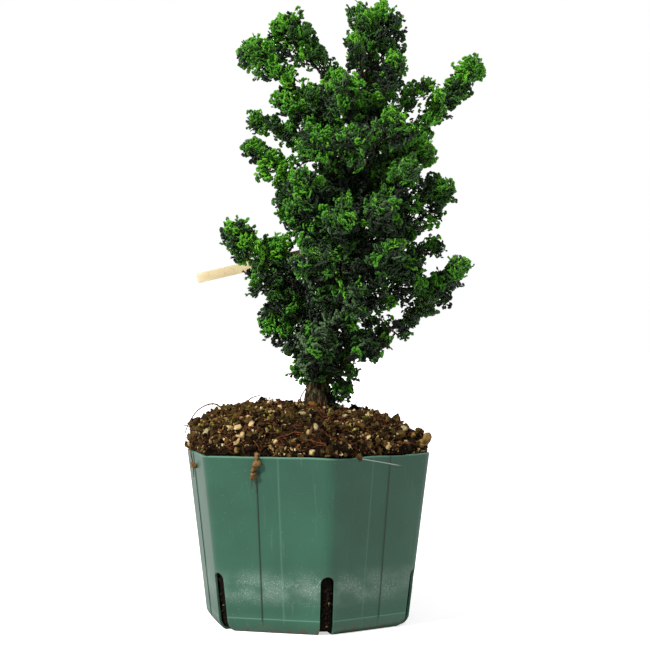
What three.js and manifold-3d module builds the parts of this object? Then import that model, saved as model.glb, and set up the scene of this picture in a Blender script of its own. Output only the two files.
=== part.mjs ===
// A dwarf hinoki cypress grown as bonsai stock, in its hexagonal slit-sided nursery pot.
//
// Millimetres, +Z up. The origin is the middle of the pot's flat underside. The plant is a
// trunk, limbs that leave it, and one mass of foliage on each limb. Every limb is one row of
// LIMBS: its first part may be a bare bough, and the rest is the stem that its foliage grows
// on. A mass is a seeded growth: twigs spiral up the stem out of a dense middle, and each ends
// in a fan of scale foliage. A mass fills the space round its own stem, up to where the next
// mass is nearer, and a fan that would leave that space or touch wood isn't grown.

import * as THREE from 'three';
import { mergeVertices } from 'three/addons/utils/BufferGeometryUtils.js';
import Module from 'manifold-3d';

const wasm = await Module();
wasm.setup();

// ---------------------------------------------------------------- driving dimensions

const CLEARANCE = 0.3; // the gap that touching pieces keep

const POT = {
  height: 123,
  rimRadius: 93.4, // of the hexagon's sharp corners
  baseRadius: 77.5,
  cornerRadius: 11,
  wall: 1.7,
  floor: 2,
  turn: 11, // degrees that the front corner stands round towards +X
  foot: [[0, 5.5], [1.5, 2.6], [6, 0]], // height and inset of the rounded lower edge
  panelWidth: 14.5, // the recessed strip up the middle of each side
  panelDepth: 0.6,
  panelStep: 0.5, // width of the slope at its edges
  slitWidth: 8,
  slitHeight: 41,
  slitStart: 0.68, // share of the base radius at which a slit begins in the floor
};

// The root ball stands above the rim. Its steps are heights over the rim and insets from the
// wall, and each is rounder than the one below.
const SOIL = {
  steps: [[2, 0.8], [10, 1.6], [16, 4], [22, 12], [27.5, 27], [30.4, 45]],
  top: 155, // where the trunk stands
  seatRadius: 19,
  lumps: 1.4,
  lean: -0.045, // height gained for each millimetre towards +X
};

const TRUNK = {
  // From the flat cut at ground level to the fork under the top mass.
  line: [
    [7.8, 0, SOIL.top + CLEARANCE], [7.8, 0, 166], [12, 2, 190], [19, 2, 218], [27, 1, 250],
    [33, -1, 285], [37, 0, 320], [39, 1, 352], [40.5, 0, 378],
  ],
  radius: 7.4,
  tipRadius: 1.9,
  flare: 2.8, // what the root flare adds at the ground
  flareHeight: 13,
  sides: 8,
  rings: 12,
};

const BOUGH = { radius: 2.4, tipRadius: 1.3, sides: 5, rings: 5 };
const STEM = { radius: 1.25, tipRadius: 0.8, sides: 4, rings: 5 };

// A limb leaves the trunk at the height `fork`, and its foliage ends at `tip`. `out` is the
// share of its reach that it has made at half its climb: over 0.5 it runs outwards and then
// turns up. `bare` is the share that is bare bough. `girth` is the greatest radius of its
// foliage, and `end` the share of it that is left where the tip rounds off.
const LIMBS = [
  { name: 'top', fork: 378, tip: [49, -3, 446], girth: 25 },
  { name: 'upper_left_inner', fork: 345, tip: [-23, 4, 437], girth: 17, out: 0.4, bare: 0.3 },
  { name: 'upper_left_outer', fork: 322, tip: [-47, -12, 416], girth: 15.5, out: 0.35, bare: 0.24 },
  { name: 'left_bump', fork: 316, tip: [-23, -10, 379], girth: 12, out: 0.4 },
  { name: 'left_arm_high', fork: 308, tip: [-43, 10, 366], girth: 10.5, out: 0.3, bare: 0.36 },
  { name: 'left_arm_low', fork: 284, tip: [-46, 0, 346], girth: 13, end: 0.75, bare: 0.3 },
  { name: 'left_side', fork: 272, tip: [-25, 4, 312], girth: 14.5 },
  { name: 'right_arm', fork: 300, tip: [128, 12, 404], girth: 12.5, out: 0.54, bare: 0.38 },
  { name: 'right_arm_short', fork: 330, tip: [95, 20, 393], girth: 11, out: 0.36, bare: 0.34 },
  { name: 'upper_right', fork: 340, tip: [69, -20, 410], girth: 13, bare: 0.2 },
  { name: 'right_shoulder', fork: 290, tip: [91, -4, 349], girth: 18, bare: 0.2 },
  { name: 'right_side', fork: 268, tip: [109, -6, 318], girth: 18, out: 0.5, bare: 0.2 },
  { name: 'right_low_tuft', fork: 238, tip: [100, 14, 273], girth: 11, bare: 0.36 },
  { name: 'right_low_arm', fork: 178, tip: [119, -4, 259], girth: 17.5, end: 0.6, out: 0.58, bare: 0.16 },
  { name: 'right_low_inner', fork: 206, tip: [83, -22, 256], girth: 16.5, out: 0.53 },
  { name: 'left_low_arm', fork: 200, tip: [-55, -22, 291], girth: 14.5, end: 0.85, out: 0.66, bare: 0.24 },
  { name: 'left_low_side', fork: 204, tip: [-33, -6, 272], girth: 18 },
  { name: 'left_lowest', fork: 182, tip: [-36, -2, 223], girth: 12.5 },
  { name: 'foot_right', fork: 160, tip: [42, -8, 175], girth: 12 },
  { name: 'foot_left', fork: 164, tip: [-11, -6, 190], girth: 12 },

  { name: 'front_crown', fork: 345, tip: [22, -38, 387], girth: 18 },
  { name: 'front_upper_right', fork: 322, tip: [69, -42, 360], girth: 17 },
  { name: 'front_upper_middle', fork: 312, tip: [35, -54, 348], girth: 18 },
  { name: 'front_upper_left', fork: 300, tip: [-2, -44, 346], girth: 18 },
  { name: 'front_left', fork: 276, tip: [-10, -46, 317], girth: 18 },
  { name: 'front_right', fork: 286, tip: [78, -38, 327], girth: 17 },
  { name: 'front_middle_left', fork: 262, tip: [24, -60, 293], girth: 18 },
  { name: 'front_middle_right', fork: 258, tip: [60, -56, 297], girth: 18 },
  { name: 'front_low_right', fork: 232, tip: [66, -48, 271], girth: 17 },
  { name: 'front_low_left', fork: 222, tip: [0, -54, 268], girth: 19 },
  { name: 'front_low', fork: 196, tip: [36, -46, 240], girth: 18 },
  { name: 'front_foot', fork: 168, tip: [8, -38, 212], girth: 17 },
  { name: 'front_foot_right', fork: 166, tip: [50, -20, 205], girth: 15 },

  { name: 'back_crown', fork: 350, tip: [60, 42, 404], girth: 17 },
  { name: 'back_upper_left', fork: 318, tip: [-2, 60, 388], girth: 17, bare: 0.2 },
  { name: 'back_upper_right', fork: 294, tip: [82, 60, 356], girth: 19, out: 0.55 },
  { name: 'back_middle', fork: 270, tip: [24, 76, 332], girth: 20, out: 0.55 },
  { name: 'back_left', fork: 252, tip: [-14, 48, 308], girth: 17 },
  { name: 'back_right', fork: 236, tip: [82, 52, 288], girth: 18 },
  { name: 'back_low', fork: 212, tip: [24, 70, 266], girth: 19, out: 0.55 },
  { name: 'back_low_left', fork: 190, tip: [-20, 36, 240], girth: 17 },
  { name: 'back_foot', fork: 168, tip: [38, 38, 206], girth: 15 },
].map((limb) => ({ out: 0.5, bare: 0, end: 1, ...limb }));

const FOLIAGE = {
  neck: 0.6, // share of the girth that a mass has where it begins
  fullAt: 0.7, // share of the stem at which it reaches its girth
  areaPerTwig: 820, // mm2 of a mass's surface for each twig
  spiral: 137.5, // degrees from one twig to the next round the stem
  lean: 64, // degrees between the stem and the twigs at its side
  lift: 0.12, // by which every twig turns up towards the light
  coreFrom: 0.12, // share of the stem at which the dense middle begins
  coreShare: 0.72, // of the mass's reach, for the dense middle
  coreSides: 6,
  coreRings: 4,
  bumps: 0.12, // by which the core's surface swells and sinks
  twigRadius: 0.9,
  fanLength: 15.5,
  fanWidth: 18,
  fanThickness: 3.6,
  shortestFan: 6,
  apart: 0.05, // share of a girth by which neighbouring masses keep apart
  offWood: 0.8, // that foliage keeps clear of other limbs' wood
};

const LABEL = {
  // A plain strip tucked level into the left of the crown.
  from: [-79, 6.5, 246.5],
  to: [-1, 6.5, 264.5],
  width: 7,
  thickness: 0.7,
};

const COLOURS = {
  pot: { color: 0x4a7c66, roughness: 0.45 },
  soil: { color: 0x3a2a1c, roughness: 0.95 },
  bark: { color: 0x6f5a42, roughness: 0.9 },
  foliage: { color: 0x2f6b22, roughness: 0.65 },
  label: { color: 0xe9dfbf, roughness: 0.5 },
};

// ---------------------------------------------------------------- small helpers

const vector = ([x, y, z]) => new THREE.Vector3(x, y, z);
const radians = THREE.MathUtils.degToRad;
const lerp = THREE.MathUtils.lerp;
const UP = new THREE.Vector3(0, 0, 1);

/** Numbers from 0 to 1 that are the same on every run for the same seed. */
function seeded(seed) {
  let state = seed;
  return () => {
    state = (Math.imul(state, 1664525) + 1013904223) >>> 0;
    return state / 4294967296;
  };
}

/** A closed three.js geometry as a manifold solid. */
function solid(geometry) {
  const bare = geometry.clone();
  bare.deleteAttribute('normal');
  bare.deleteAttribute('uv');
  const merged = mergeVertices(bare, 1e-4);
  return new wasm.Manifold(new wasm.Mesh({
    numProp: 3,
    vertProperties: new Float32Array(merged.attributes.position.array),
    triVerts: new Uint32Array(merged.index.array),
  }));
}

/** A manifold solid as a three.js geometry. */
function geometryOf(body) {
  const mesh = body.getMesh();
  const geometry = new THREE.BufferGeometry();
  geometry.setAttribute('position', new THREE.BufferAttribute(mesh.vertProperties, 3));
  geometry.setIndex(new THREE.BufferAttribute(mesh.triVerts, 1));
  geometry.computeVertexNormals();
  return geometry;
}

/** Joins solids and keeps the largest piece, without loose scraps. */
function fuse(bodies) {
  const pieces = wasm.Manifold.union(bodies).decompose();
  return pieces.reduce((a, b) => (b.volume() > a.volume() ? b : a));
}

/** Cuts solids away from a body where they meet it. */
function cutClear(body, tools) {
  return tools.reduce(
    (left, tool) => (left.intersect(tool).volume() > 0 ? left.subtract(tool) : left),
    body,
  );
}

/** A closed solid through rings of points, each ring counter-clockwise seen from the end. */
function loft(rings) {
  const sides = rings[0].length;
  const last = rings.length - 1;
  const geometry = new THREE.CylinderGeometry(1, 1, 1, sides, last);
  const position = geometry.attributes.position;
  const point = new THREE.Vector3();
  for (let i = 0; i < position.count; i++) {
    point.fromBufferAttribute(position, i);
    const ring = rings[Math.round((point.y + 0.5) * last)];
    const turn = Math.atan2(point.x, point.z) / (2 * Math.PI);
    const onAxis = Math.hypot(point.x, point.z) < 0.5;
    const place = onAxis
      ? ring.reduce((sum, p) => sum.add(p), new THREE.Vector3()).divideScalar(sides)
      : ring[(Math.round(turn * sides) + sides) % sides];
    position.setXYZ(i, place.x, place.y, place.z);
  }
  return solid(geometry);
}

/**
 * Rings round a curve, with frames that don't twist, and a radius for each share and angle.
 * A gap makes them a tool that cuts other pieces clear: wider, and longer at the end.
 */
function ringsAlong(curve, count, sides, radiusAt, gap = 0) {
  const start = curve.getTangentAt(0);
  let side = new THREE.Vector3(1, 0, 0).addScaledVector(start, -start.x).normalize();
  return Array.from({ length: count }, (_, row) => {
    const share = row / (count - 1);
    const along = curve.getTangentAt(share);
    const centre = curve.getPointAt(share).addScaledVector(along, share === 1 ? gap : 0);
    side = side.clone().addScaledVector(along, -side.dot(along)).normalize();
    const across = along.clone().cross(side);
    return Array.from({ length: sides }, (__, k) => {
      const angle = (k / sides) * 2 * Math.PI;
      const radius = radiusAt(share, angle) + gap;
      return centre.clone()
        .addScaledVector(side, radius * Math.cos(angle))
        .addScaledVector(across, radius * Math.sin(angle));
    });
  });
}

// ---------------------------------------------------------------- pot

/** The rounded hexagon of the pot at one height, counter-clockwise from above. */
function potOutline(radius, z, { corner = POT.cornerRadius, panels = false } = {}) {
  const points = [];
  const flat = radius * Math.cos(radians(30));
  for (let i = 0; i < 6; i++) {
    const towards = radians(-90 + POT.turn + 60 * i);
    const out = radius - corner / Math.cos(radians(30));
    for (const bend of [-30, 0, 30]) {
      const angle = towards + radians(bend);
      points.push(new THREE.Vector3(
        out * Math.cos(towards) + corner * Math.cos(angle),
        out * Math.sin(towards) + corner * Math.sin(angle),
        z,
      ));
    }
    if (!panels) continue;
    const normal = towards + radians(30);
    const half = POT.panelWidth / 2;
    const wide = half + POT.panelStep;
    const steps = [[-wide, 0], [-half, 1], [half, 1], [wide, 0]];
    for (const [along, sunk] of steps) {
      const depth = flat - sunk * POT.panelDepth;
      points.push(new THREE.Vector3(
        depth * Math.cos(normal) - along * Math.sin(normal),
        depth * Math.sin(normal) + along * Math.cos(normal),
        z,
      ));
    }
  }
  return points;
}

/** The radius of the pot's sharp hexagon at a height. */
const potRadius = (z) => lerp(POT.baseRadius, POT.rimRadius, z / POT.height);

/** The inset that the rounded lower edge has at a height. */
const footInset = (z) => {
  const next = POT.foot.findIndex(([height]) => height >= z);
  if (next < 0) return 0;
  if (next === 0) return POT.foot[0][1];
  const [[z0, inset0], [z1, inset1]] = [POT.foot[next - 1], POT.foot[next]];
  return lerp(inset0, inset1, (z - z0) / (z1 - z0));
};

/** One slit: an upright slot with a round top that runs out through a corner. */
function slit(index) {
  const half = POT.slitWidth / 2;
  const shape = new THREE.Shape();
  shape.moveTo(-half, -1);
  shape.lineTo(half, -1);
  shape.lineTo(half, POT.slitHeight - half);
  shape.absarc(0, POT.slitHeight - half, half, 0, Math.PI, false);
  shape.lineTo(-half, -1);
  const reach = POT.rimRadius;
  const start = POT.baseRadius * POT.slitStart;
  const geometry = new THREE.ExtrudeGeometry(shape, {
    depth: reach - start, bevelEnabled: false, curveSegments: 4,
  });
  geometry.translate(0, 0, start);
  geometry.rotateX(Math.PI / 2); // the slot stands up, and runs towards -Y
  geometry.rotateZ(radians(POT.turn + 60 * index));
  return solid(geometry);
}

function makePot() {
  const heights = [...POT.foot.map(([z]) => z), POT.height];
  const outside = loft(heights.map((z) => potOutline(potRadius(z) - footInset(z), z, { panels: true })));
  const inset = POT.wall / Math.cos(radians(30));
  const inside = loft([POT.floor, POT.foot.at(-1)[0], POT.height + 1].map((z) => potOutline(
    potRadius(z) - inset - footInset(z), z, { corner: POT.cornerRadius - POT.wall },
  )));
  const slits = [0, 1, 2, 3, 4, 5].map(slit);
  return cutClear(outside, [inside, ...slits]);
}

// ---------------------------------------------------------------- soil

/** The point of a level circle round the trunk's foot that lies the same way as another point. */
function roundTrunk({ x, y }, radius, z) {
  const [footX, footY] = TRUNK.line[0];
  const angle = Math.atan2(y, x);
  return new THREE.Vector3(footX + radius * Math.cos(angle), footY + radius * Math.sin(angle), z);
}

/** The root ball: it fills the pot and stands above the rim as a low mound. */
function makeSoil() {
  const inset = (POT.wall + CLEARANCE) / Math.cos(radians(30));
  const corner = POT.cornerRadius - POT.wall;
  const outline = (z, more) => (
    potOutline(potRadius(Math.min(z, POT.height)) - inset - more, z, { corner })
  );
  const inPot = [POT.floor + CLEARANCE, POT.foot.at(-1)[0], POT.height - 1];
  const rings = inPot.map((z) => outline(z, footInset(z)));
  SOIL.steps.forEach(([over, more], row) => {
    const roundness = (row / SOIL.steps.length) ** 3;
    rings.push(outline(POT.height + over, more).map((point, k) => {
      const lump = SOIL.lumps * Math.sin(k * 2.4 + row * 1.7) + SOIL.lean * point.x;
      return point.clone().lerp(roundTrunk(point, SOIL.seatRadius * 2, point.z), roundness)
        .addScaledVector(UP, lump);
    }));
  });
  rings.push(rings[0].map((point) => roundTrunk(point, SOIL.seatRadius, SOIL.top)));
  return loft(rings);
}

// ---------------------------------------------------------------- trunk and limbs

const trunkCurve = new THREE.CatmullRomCurve3(TRUNK.line.map(vector));

/** The trunk's radius at a share of its length: even taper, with a lobed flare at the root. */
function trunkRadius(share, angle = 0) {
  const height = share * trunkCurve.getLength();
  const flare = Math.exp(-((height / TRUNK.flareHeight) ** 2)) * TRUNK.flare;
  return lerp(TRUNK.radius, TRUNK.tipRadius, share ** 0.9) + flare * (1 + 0.3 * Math.cos(3 * angle));
}

/** The share of the trunk's length at which it reaches a height. */
function trunkShare(z) {
  let low = 0;
  let high = 1;
  for (let i = 0; i < 20; i++) {
    const middle = (low + high) / 2;
    if (trunkCurve.getPointAt(middle).z < z) low = middle;
    else high = middle;
  }
  return low;
}

/** The trunk, or the same trunk grown by a gap as a tool that cuts pieces clear of it. */
function makeTrunk(gap = 0) {
  return loft(ringsAlong(trunkCurve, TRUNK.rings, TRUNK.sides, trunkRadius, gap));
}

/** The curve of a limb, from the middle of the trunk to the end of its foliage. */
function limbCurve({ fork, tip, out }) {
  const start = trunkCurve.getPointAt(trunkShare(fork));
  const end = vector(tip);
  const middle = start.clone().lerp(end, out).setZ((start.z + end.z) / 2);
  const control = middle.multiplyScalar(2).addScaledVector(start, -0.5).addScaledVector(end, -0.5);
  return new THREE.QuadraticBezierCurve3(start, control, end);
}

/** A part of a curve as a curve of its own. */
function partOf(curve, from, to) {
  const shares = [0, 0.25, 0.5, 0.75, 1].map((share) => lerp(from, to, share));
  return new THREE.CatmullRomCurve3(shares.map((share) => curve.getPointAt(share)));
}

/** How wide a mass is at a share of its stem: it swells from its neck, and may taper again. */
function girthAt({ girth, end }, share) {
  const grown = Math.min(share / FOLIAGE.fullAt, 1);
  const swell = lerp(FOLIAGE.neck, 1, Math.sin(grown * Math.PI / 2));
  return girth * swell * lerp(1, end, share ** 2);
}

/** A limb with its bough, its stem and the balls that its foliage's space is made of. */
function layOut(limb, index) {
  const whole = limbCurve(limb);
  const length = whole.getLength();
  const from = limb.bare > 0 ? limb.bare + CLEARANCE / length : 0;
  const stem = partOf(whole, from, Math.max(1 - limb.girth * limb.end / length, from + 0.2));
  const space = Array.from({ length: 13 }, (_, i) => (
    { centre: stem.getPointAt(i / 12), radius: girthAt(limb, i / 12) }
  ));
  return {
    ...limb,
    seed: index + 1,
    bough: limb.bare > 0 ? partOf(whole, 0, limb.bare) : null,
    stem,
    space,
    middle: stem.getPointAt(0.5),
    size: stem.getLength() / 2 + limb.girth,
  };
}

const limbs = LIMBS.map(layOut);
limbs.forEach((limb) => {
  limb.others = limbs.filter((other) => other !== limb
    && limb.middle.distanceTo(other.middle) < limb.size + other.size + 10);
});

/** Balls along a piece of wood, for telling how near a point is to it. */
function ballsAlong(curve, radiusAt) {
  const count = Math.ceil(curve.getLength() / 2.5);
  return Array.from({ length: count + 1 }, (_, i) => (
    { centre: curve.getPointAt(i / count), radius: radiusAt(i / count) }
  ));
}

const boughRadius = (share) => lerp(BOUGH.radius, BOUGH.tipRadius, share);
const stemRadius = (share) => lerp(STEM.radius, STEM.tipRadius, share);
const boughBody = ({ bough }, gap) => loft(ringsAlong(bough, BOUGH.rings, BOUGH.sides, boughRadius, gap));
const stemBody = ({ stem }, gap) => loft(ringsAlong(stem, STEM.rings, STEM.sides, stemRadius, gap));
const trunkBalls = ballsAlong(trunkCurve, trunkRadius);
for (const limb of limbs) {
  limb.wood = ballsAlong(limb.stem, stemRadius);
  if (limb.bough) limb.wood.push(...ballsAlong(limb.bough, boughRadius));
}

/** How far a point is from the stem of a mass, as a share of its girth there. */
function depthIn({ space }, point) {
  return Math.min(...space.map(({ centre, radius }) => centre.distanceTo(point) / radius));
}

/** Whether a point lies in a mass's own space: nearer to it than to any other, off the wood. */
function belongs(limb, point, reach = 1.03) {
  const own = depthIn(limb, point);
  const clear = (balls) => balls.every(
    ({ centre, radius }) => centre.distanceTo(point) > radius + FOLIAGE.offWood,
  );
  return own < reach
    && limb.others.every((other) => depthIn(other, point) > own + FOLIAGE.apart && clear(other.wood))
    && clear(trunkBalls);
}

/** How far a mass's own space goes from a point on its stem, in a direction. */
function reachOf(limb, root, direction) {
  const step = 1;
  let reach = 2;
  while (belongs(limb, root.clone().addScaledVector(direction, reach + step))) reach += step;
  return reach;
}

// ---------------------------------------------------------------- foliage

/** One fan of scale foliage: three blunt lobes in a plane, thickest in the middle. */
function fan(root, direction, normal, length) {
  const scale = length / FOLIAGE.fanLength;
  const side = direction.clone().cross(normal);
  const lobes = [[0, 0], [0.5, 0.76], [0.25, 0.76], [0, 1], [-0.25, 0.76], [-0.5, 0.76]];
  const place = (across, along, out) => root.clone()
    .addScaledVector(side, across * FOLIAGE.fanWidth * scale)
    .addScaledVector(direction, along * length)
    .addScaledVector(normal, out * FOLIAGE.fanThickness * scale);
  const corners = lobes.map(([across, along]) => place(across, along, 0));
  const faces = [place(0, 0.5, 0.5), place(0, 0.5, -0.5)];
  const geometry = new THREE.SphereGeometry(1, lobes.length, 2);
  const columns = lobes.length + 1;
  for (let i = 0; i < geometry.attributes.position.count; i++) {
    const row = Math.floor(i / columns);
    const point = row === 1 ? corners[(i % columns) % lobes.length] : faces[row / 2];
    geometry.attributes.position.setXYZ(i, point.x, point.y, point.z);
  }
  return { body: solid(geometry), corners };
}

/** A fan at the end of a twig, turned until it lies in the mass's own space, or nothing. */
function fittingFan(limb, root, direction, length, roll) {
  const across = new THREE.Vector3().crossVectors(direction, UP).normalize();
  for (const scale of [1, 0.75]) {
    for (let turn = 0; turn < 4; turn++) {
      const normal = across.clone().applyAxisAngle(direction, roll + turn * Math.PI / 4);
      const end = root.clone().addScaledVector(direction, length * (1 - scale));
      const grown = fan(end, direction, normal, length * scale);
      if (grown.corners.slice(1).every((corner) => belongs(limb, corner, 1.15))) return grown.body;
    }
  }
  return null;
}

/** The twigs of a mass: they spiral up the stem, then spread out over its rounded end. */
function twigsOf(limb) {
  const random = seeded(limb.seed);
  const flank = limb.stem.getLength() * 0.8;
  const atSide = flank / (flank + limb.girth);
  const count = Math.round(2 * Math.PI * limb.girth * (flank + limb.girth) / FOLIAGE.areaPerTwig);
  return Array.from({ length: count }, (_, i) => {
    const place = (i + 0.5) / count;
    const share = Math.min(place / atSide, 1) ** 0.8;
    const spread = Math.max(place - atSide, 0) / (1 - atSide);
    const lean = Math.acos(lerp(Math.cos(radians(FOLIAGE.lean)), 1, spread));
    const turn = radians(FOLIAGE.spiral * i) + 0.5 * (random() - 0.5);
    const along = limb.stem.getTangentAt(share);
    const side = UP.clone().cross(along).normalize();
    const across = along.clone().cross(side);
    const direction = along.multiplyScalar(Math.cos(lean))
      .addScaledVector(side, Math.sin(lean) * Math.cos(turn))
      .addScaledVector(across, Math.sin(lean) * Math.sin(turn))
      .addScaledVector(UP, FOLIAGE.lift)
      .normalize();
    return { root: limb.stem.getPointAt(share), direction, roll: random() * Math.PI };
  });
}

/** The dense middle of a mass, drawn in wherever another mass or limb is near. */
function core(limb) {
  const { coreFrom, coreRings, coreSides, coreShare, bumps } = FOLIAGE;
  const along = partOf(limb.stem, coreFrom, 1);
  const centres = Array.from({ length: coreRings }, (_, row) => along.getPointAt(row / (coreRings - 1)));
  const ways = ringsAlong(along, coreRings, coreSides, () => 1)
    .map((ring, row) => ring.map((point) => point.sub(centres[row])));
  // A last ring leans forwards from the end of the stem and rounds the middle off.
  const ahead = along.getTangentAt(1).multiplyScalar(1.6);
  ways.push(ways.at(-1).map((way) => way.clone().add(ahead).normalize()));
  centres.push(centres.at(-1));
  return loft(ways.map((ring, row) => ring.map((way, k) => {
    const bump = (row + k) % 2 ? 1 + bumps : 1 - bumps;
    const reach = reachOf(limb, centres[row], way) * coreShare * bump;
    return centres[row].clone().addScaledVector(way, reach);
  })));
}

/** The stem and the dense middle of a mass, clear of all other wood. */
function makeMiddle(limb, tools) {
  return fuse([cutClear(stemBody(limb, 0).add(core(limb)), tools)]);
}

/** One mass of foliage: its middle, with a fan on each twig that has room for one. */
function makeFoliage(limb, middle, others) {
  const grown = [];
  for (const { root, direction, roll } of twigsOf(limb)) {
    const reach = reachOf(limb, root, direction);
    const length = Math.min(FOLIAGE.fanLength, reach * 0.8);
    if (length < FOLIAGE.shortestFan) continue;
    const end = root.clone().addScaledVector(direction, reach - length);
    const body = fittingFan(limb, end, direction, length, roll);
    if (!body || others.some((other) => body.minGap(other, CLEARANCE) < CLEARANCE)) continue;
    grown.push(body);
    if (reach - length < reach * FOLIAGE.coreShare * 0.7) continue; // it is rooted in the middle
    const line = new THREE.LineCurve3(root, end.addScaledVector(direction, length * 0.2));
    grown.push(loft(ringsAlong(line, 2, 3, (share) => FOLIAGE.twigRadius * lerp(1, 0.6, share))));
  }
  return fuse([middle, ...grown]);
}

// ---------------------------------------------------------------- label

/** The plant label: a plain strip, standing on edge, or the same strip grown by a gap. */
function makeLabel(gap = 0) {
  const from = vector(LABEL.from);
  const to = vector(LABEL.to);
  const strip = new THREE.BoxGeometry(
    from.distanceTo(to) + 2 * gap, LABEL.thickness + 2 * gap, LABEL.width + 2 * gap,
  );
  strip.rotateY(-Math.atan2(to.z - from.z, to.x - from.x));
  const middle = from.lerp(to, 0.5);
  strip.translate(middle.x, middle.y, middle.z);
  return solid(strip);
}

// ---------------------------------------------------------------- assembly

const plant = new THREE.Group();

function add(name, body, { color, roughness }) {
  const material = new THREE.MeshStandardMaterial({ color, roughness, metalness: 0 });
  const mesh = new THREE.Mesh(geometryOf(body), material);
  mesh.name = name;
  plant.add(mesh);
}

add('pot', makePot(), COLOURS.pot);
add('soil', makeSoil(), COLOURS.soil);
add('trunk', makeTrunk(), COLOURS.bark);
add('plant_label', makeLabel(), COLOURS.label);

const trunkTool = makeTrunk(CLEARANCE);
const labelTool = makeLabel(CLEARANCE);

for (const limb of limbs.filter(({ bough }) => bough)) {
  limb.boughTool = boughBody(limb, CLEARANCE);
  limb.boughSolid = cutClear(boughBody(limb, 0), [trunkTool, labelTool]);
  add(`bough_${limb.name}`, limb.boughSolid, COLOURS.bark);
}

const boughs = limbs.filter(({ bough }) => bough);
for (const limb of limbs) {
  const stems = limb.others.map((other) => stemBody(other, CLEARANCE));
  const tools = [trunkTool, labelTool, ...boughs.map(({ boughTool }) => boughTool), ...stems];
  limb.body = makeMiddle(limb, tools);
}
const wood = [makeTrunk(), makeLabel(), ...boughs.map(({ boughSolid }) => boughSolid)];
for (const limb of limbs) {
  limb.body = makeFoliage(limb, limb.body, [...wood, ...limb.others.map(({ body }) => body)]);
  add(`foliage_${limb.name}`, limb.body, COLOURS.foliage);
}

export default plant;
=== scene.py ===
"""A dwarf hinoki cypress in its hexagonal nursery pot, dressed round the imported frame.

Sizes are in millimetres wherever they are written, and in metres in the finished meshes. +Z is
up, and the origin is the middle of the pot's flat underside. The plant grows by the same rule
as its solids: a limb leaves the trunk, its foliage fills the space round its stem, and twigs
spiral up that stem. Here each twig forks on into stalks, and each stalk ends in a small spray
of blunt green fingers.
"""

import sys

import logging
from collections.abc import Callable, Iterable
from dataclasses import dataclass, field
from enum import Enum
from math import atan2, copysign, cos, pi, radians, sin, tau

import bmesh
import bpy
import numpy as np
from bpy.types import Material, Mesh, Node, NodeTree, Object
from mathutils import Matrix, Vector
from mathutils.bvhtree import BVHTree
from mathutils.noise import noise


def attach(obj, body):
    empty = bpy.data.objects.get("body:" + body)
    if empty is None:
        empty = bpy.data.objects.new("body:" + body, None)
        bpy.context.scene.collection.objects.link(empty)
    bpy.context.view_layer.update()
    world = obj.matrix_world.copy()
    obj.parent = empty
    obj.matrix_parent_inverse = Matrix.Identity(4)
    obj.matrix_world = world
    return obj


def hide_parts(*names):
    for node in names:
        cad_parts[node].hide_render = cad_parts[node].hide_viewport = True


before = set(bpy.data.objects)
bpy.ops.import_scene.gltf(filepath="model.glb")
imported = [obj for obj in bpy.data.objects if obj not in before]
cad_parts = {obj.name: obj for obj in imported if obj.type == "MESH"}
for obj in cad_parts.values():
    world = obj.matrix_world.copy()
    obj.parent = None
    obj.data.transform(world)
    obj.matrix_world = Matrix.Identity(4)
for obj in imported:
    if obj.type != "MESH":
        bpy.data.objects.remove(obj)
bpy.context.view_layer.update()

LOG = logging.getLogger("dwarf_cypress")
MM = 0.001
GOLDEN_ANGLE = radians(137.5)
SPRAY_MODEL = 9.0  # length of a spray at a scale of 1
Array = np.ndarray
Pair = tuple[Array, Array]
Shape = Pair  # corners and triangles


class Slot(Enum):
    """The record's material slots."""

    FOLIAGE = "foliage"
    BARK = "bark"
    POT = "pot"
    SOIL = "soil"
    LABEL = "label"


# ---------- colours and nodes


def linear(code: str) -> tuple[float, float, float, float]:
    """Turns an sRGB code of six hex digits into Blender's linear colour, with an alpha of 1."""
    levels = [int(code[i : i + 2], 16) / 255 for i in (0, 2, 4)]
    return (*(c / 12.92 if c <= 0.04045 else ((c + 0.055) / 1.055) ** 2.4 for c in levels), 1.0)


def add_node(
    tree: NodeTree,
    kind: str,
    values: dict | None = None,
    links: dict | None = None,
    stops: Iterable[tuple[float, str]] = (),
    **settings: object,
) -> Node:
    """Adds one node with its settings and links.

    Args:
        tree: The node tree that it goes into.
        kind: The shader node's type, without its first word.
        values: Default values by input.
        links: Output sockets by input.
        stops: A colour ramp's stops, each a position and a hex code.
        settings: Properties of the node itself.

    Returns:
        The node.
    """
    node = tree.nodes.new(f"ShaderNode{kind}")
    for name, setting in settings.items():
        setattr(node, name, setting)
    for key, value in (values or {}).items():
        node.inputs[key].default_value = value
    for key, socket in (links or {}).items():
        tree.links.new(socket, node.inputs[key])
    for index, (position, code) in enumerate(stops):
        ramp = node.color_ramp.elements
        stop = ramp[index] if index < 2 else ramp.new(position)
        stop.position, stop.color = position, linear(code)
    return node


@dataclass(frozen=True)
class Finish:
    """What every finish has: a name, a roughness and an index of refraction."""

    name: str
    roughness: float
    ior: float = 1.45

    def surface(self) -> tuple[Material, NodeTree, Node]:
        """Makes an empty material with a principled surface.

        Returns:
            The material, its node tree and its shader.
        """
        material = bpy.data.materials.new(self.name)
        material.use_nodes = True
        tree = material.node_tree
        tree.nodes.clear()
        shader = add_node(tree, "BsdfPrincipled", {"Roughness": self.roughness, "IOR": self.ior})
        add_node(tree, "OutputMaterial", links={"Surface": shader.outputs[0]})
        return material, tree, shader


# ---------- finishes


@dataclass(frozen=True)
class PlainFinish(Finish):
    """A finish in one plain colour, for things that are thinner than any pattern."""

    colour: str = "808080"

    def make(self) -> Material:
        """Makes the material: its colour alone.

        Returns:
            The material.
        """
        material, _, shader = self.surface()
        shader.inputs["Base Color"].default_value = linear(self.colour)
        return material


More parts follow.
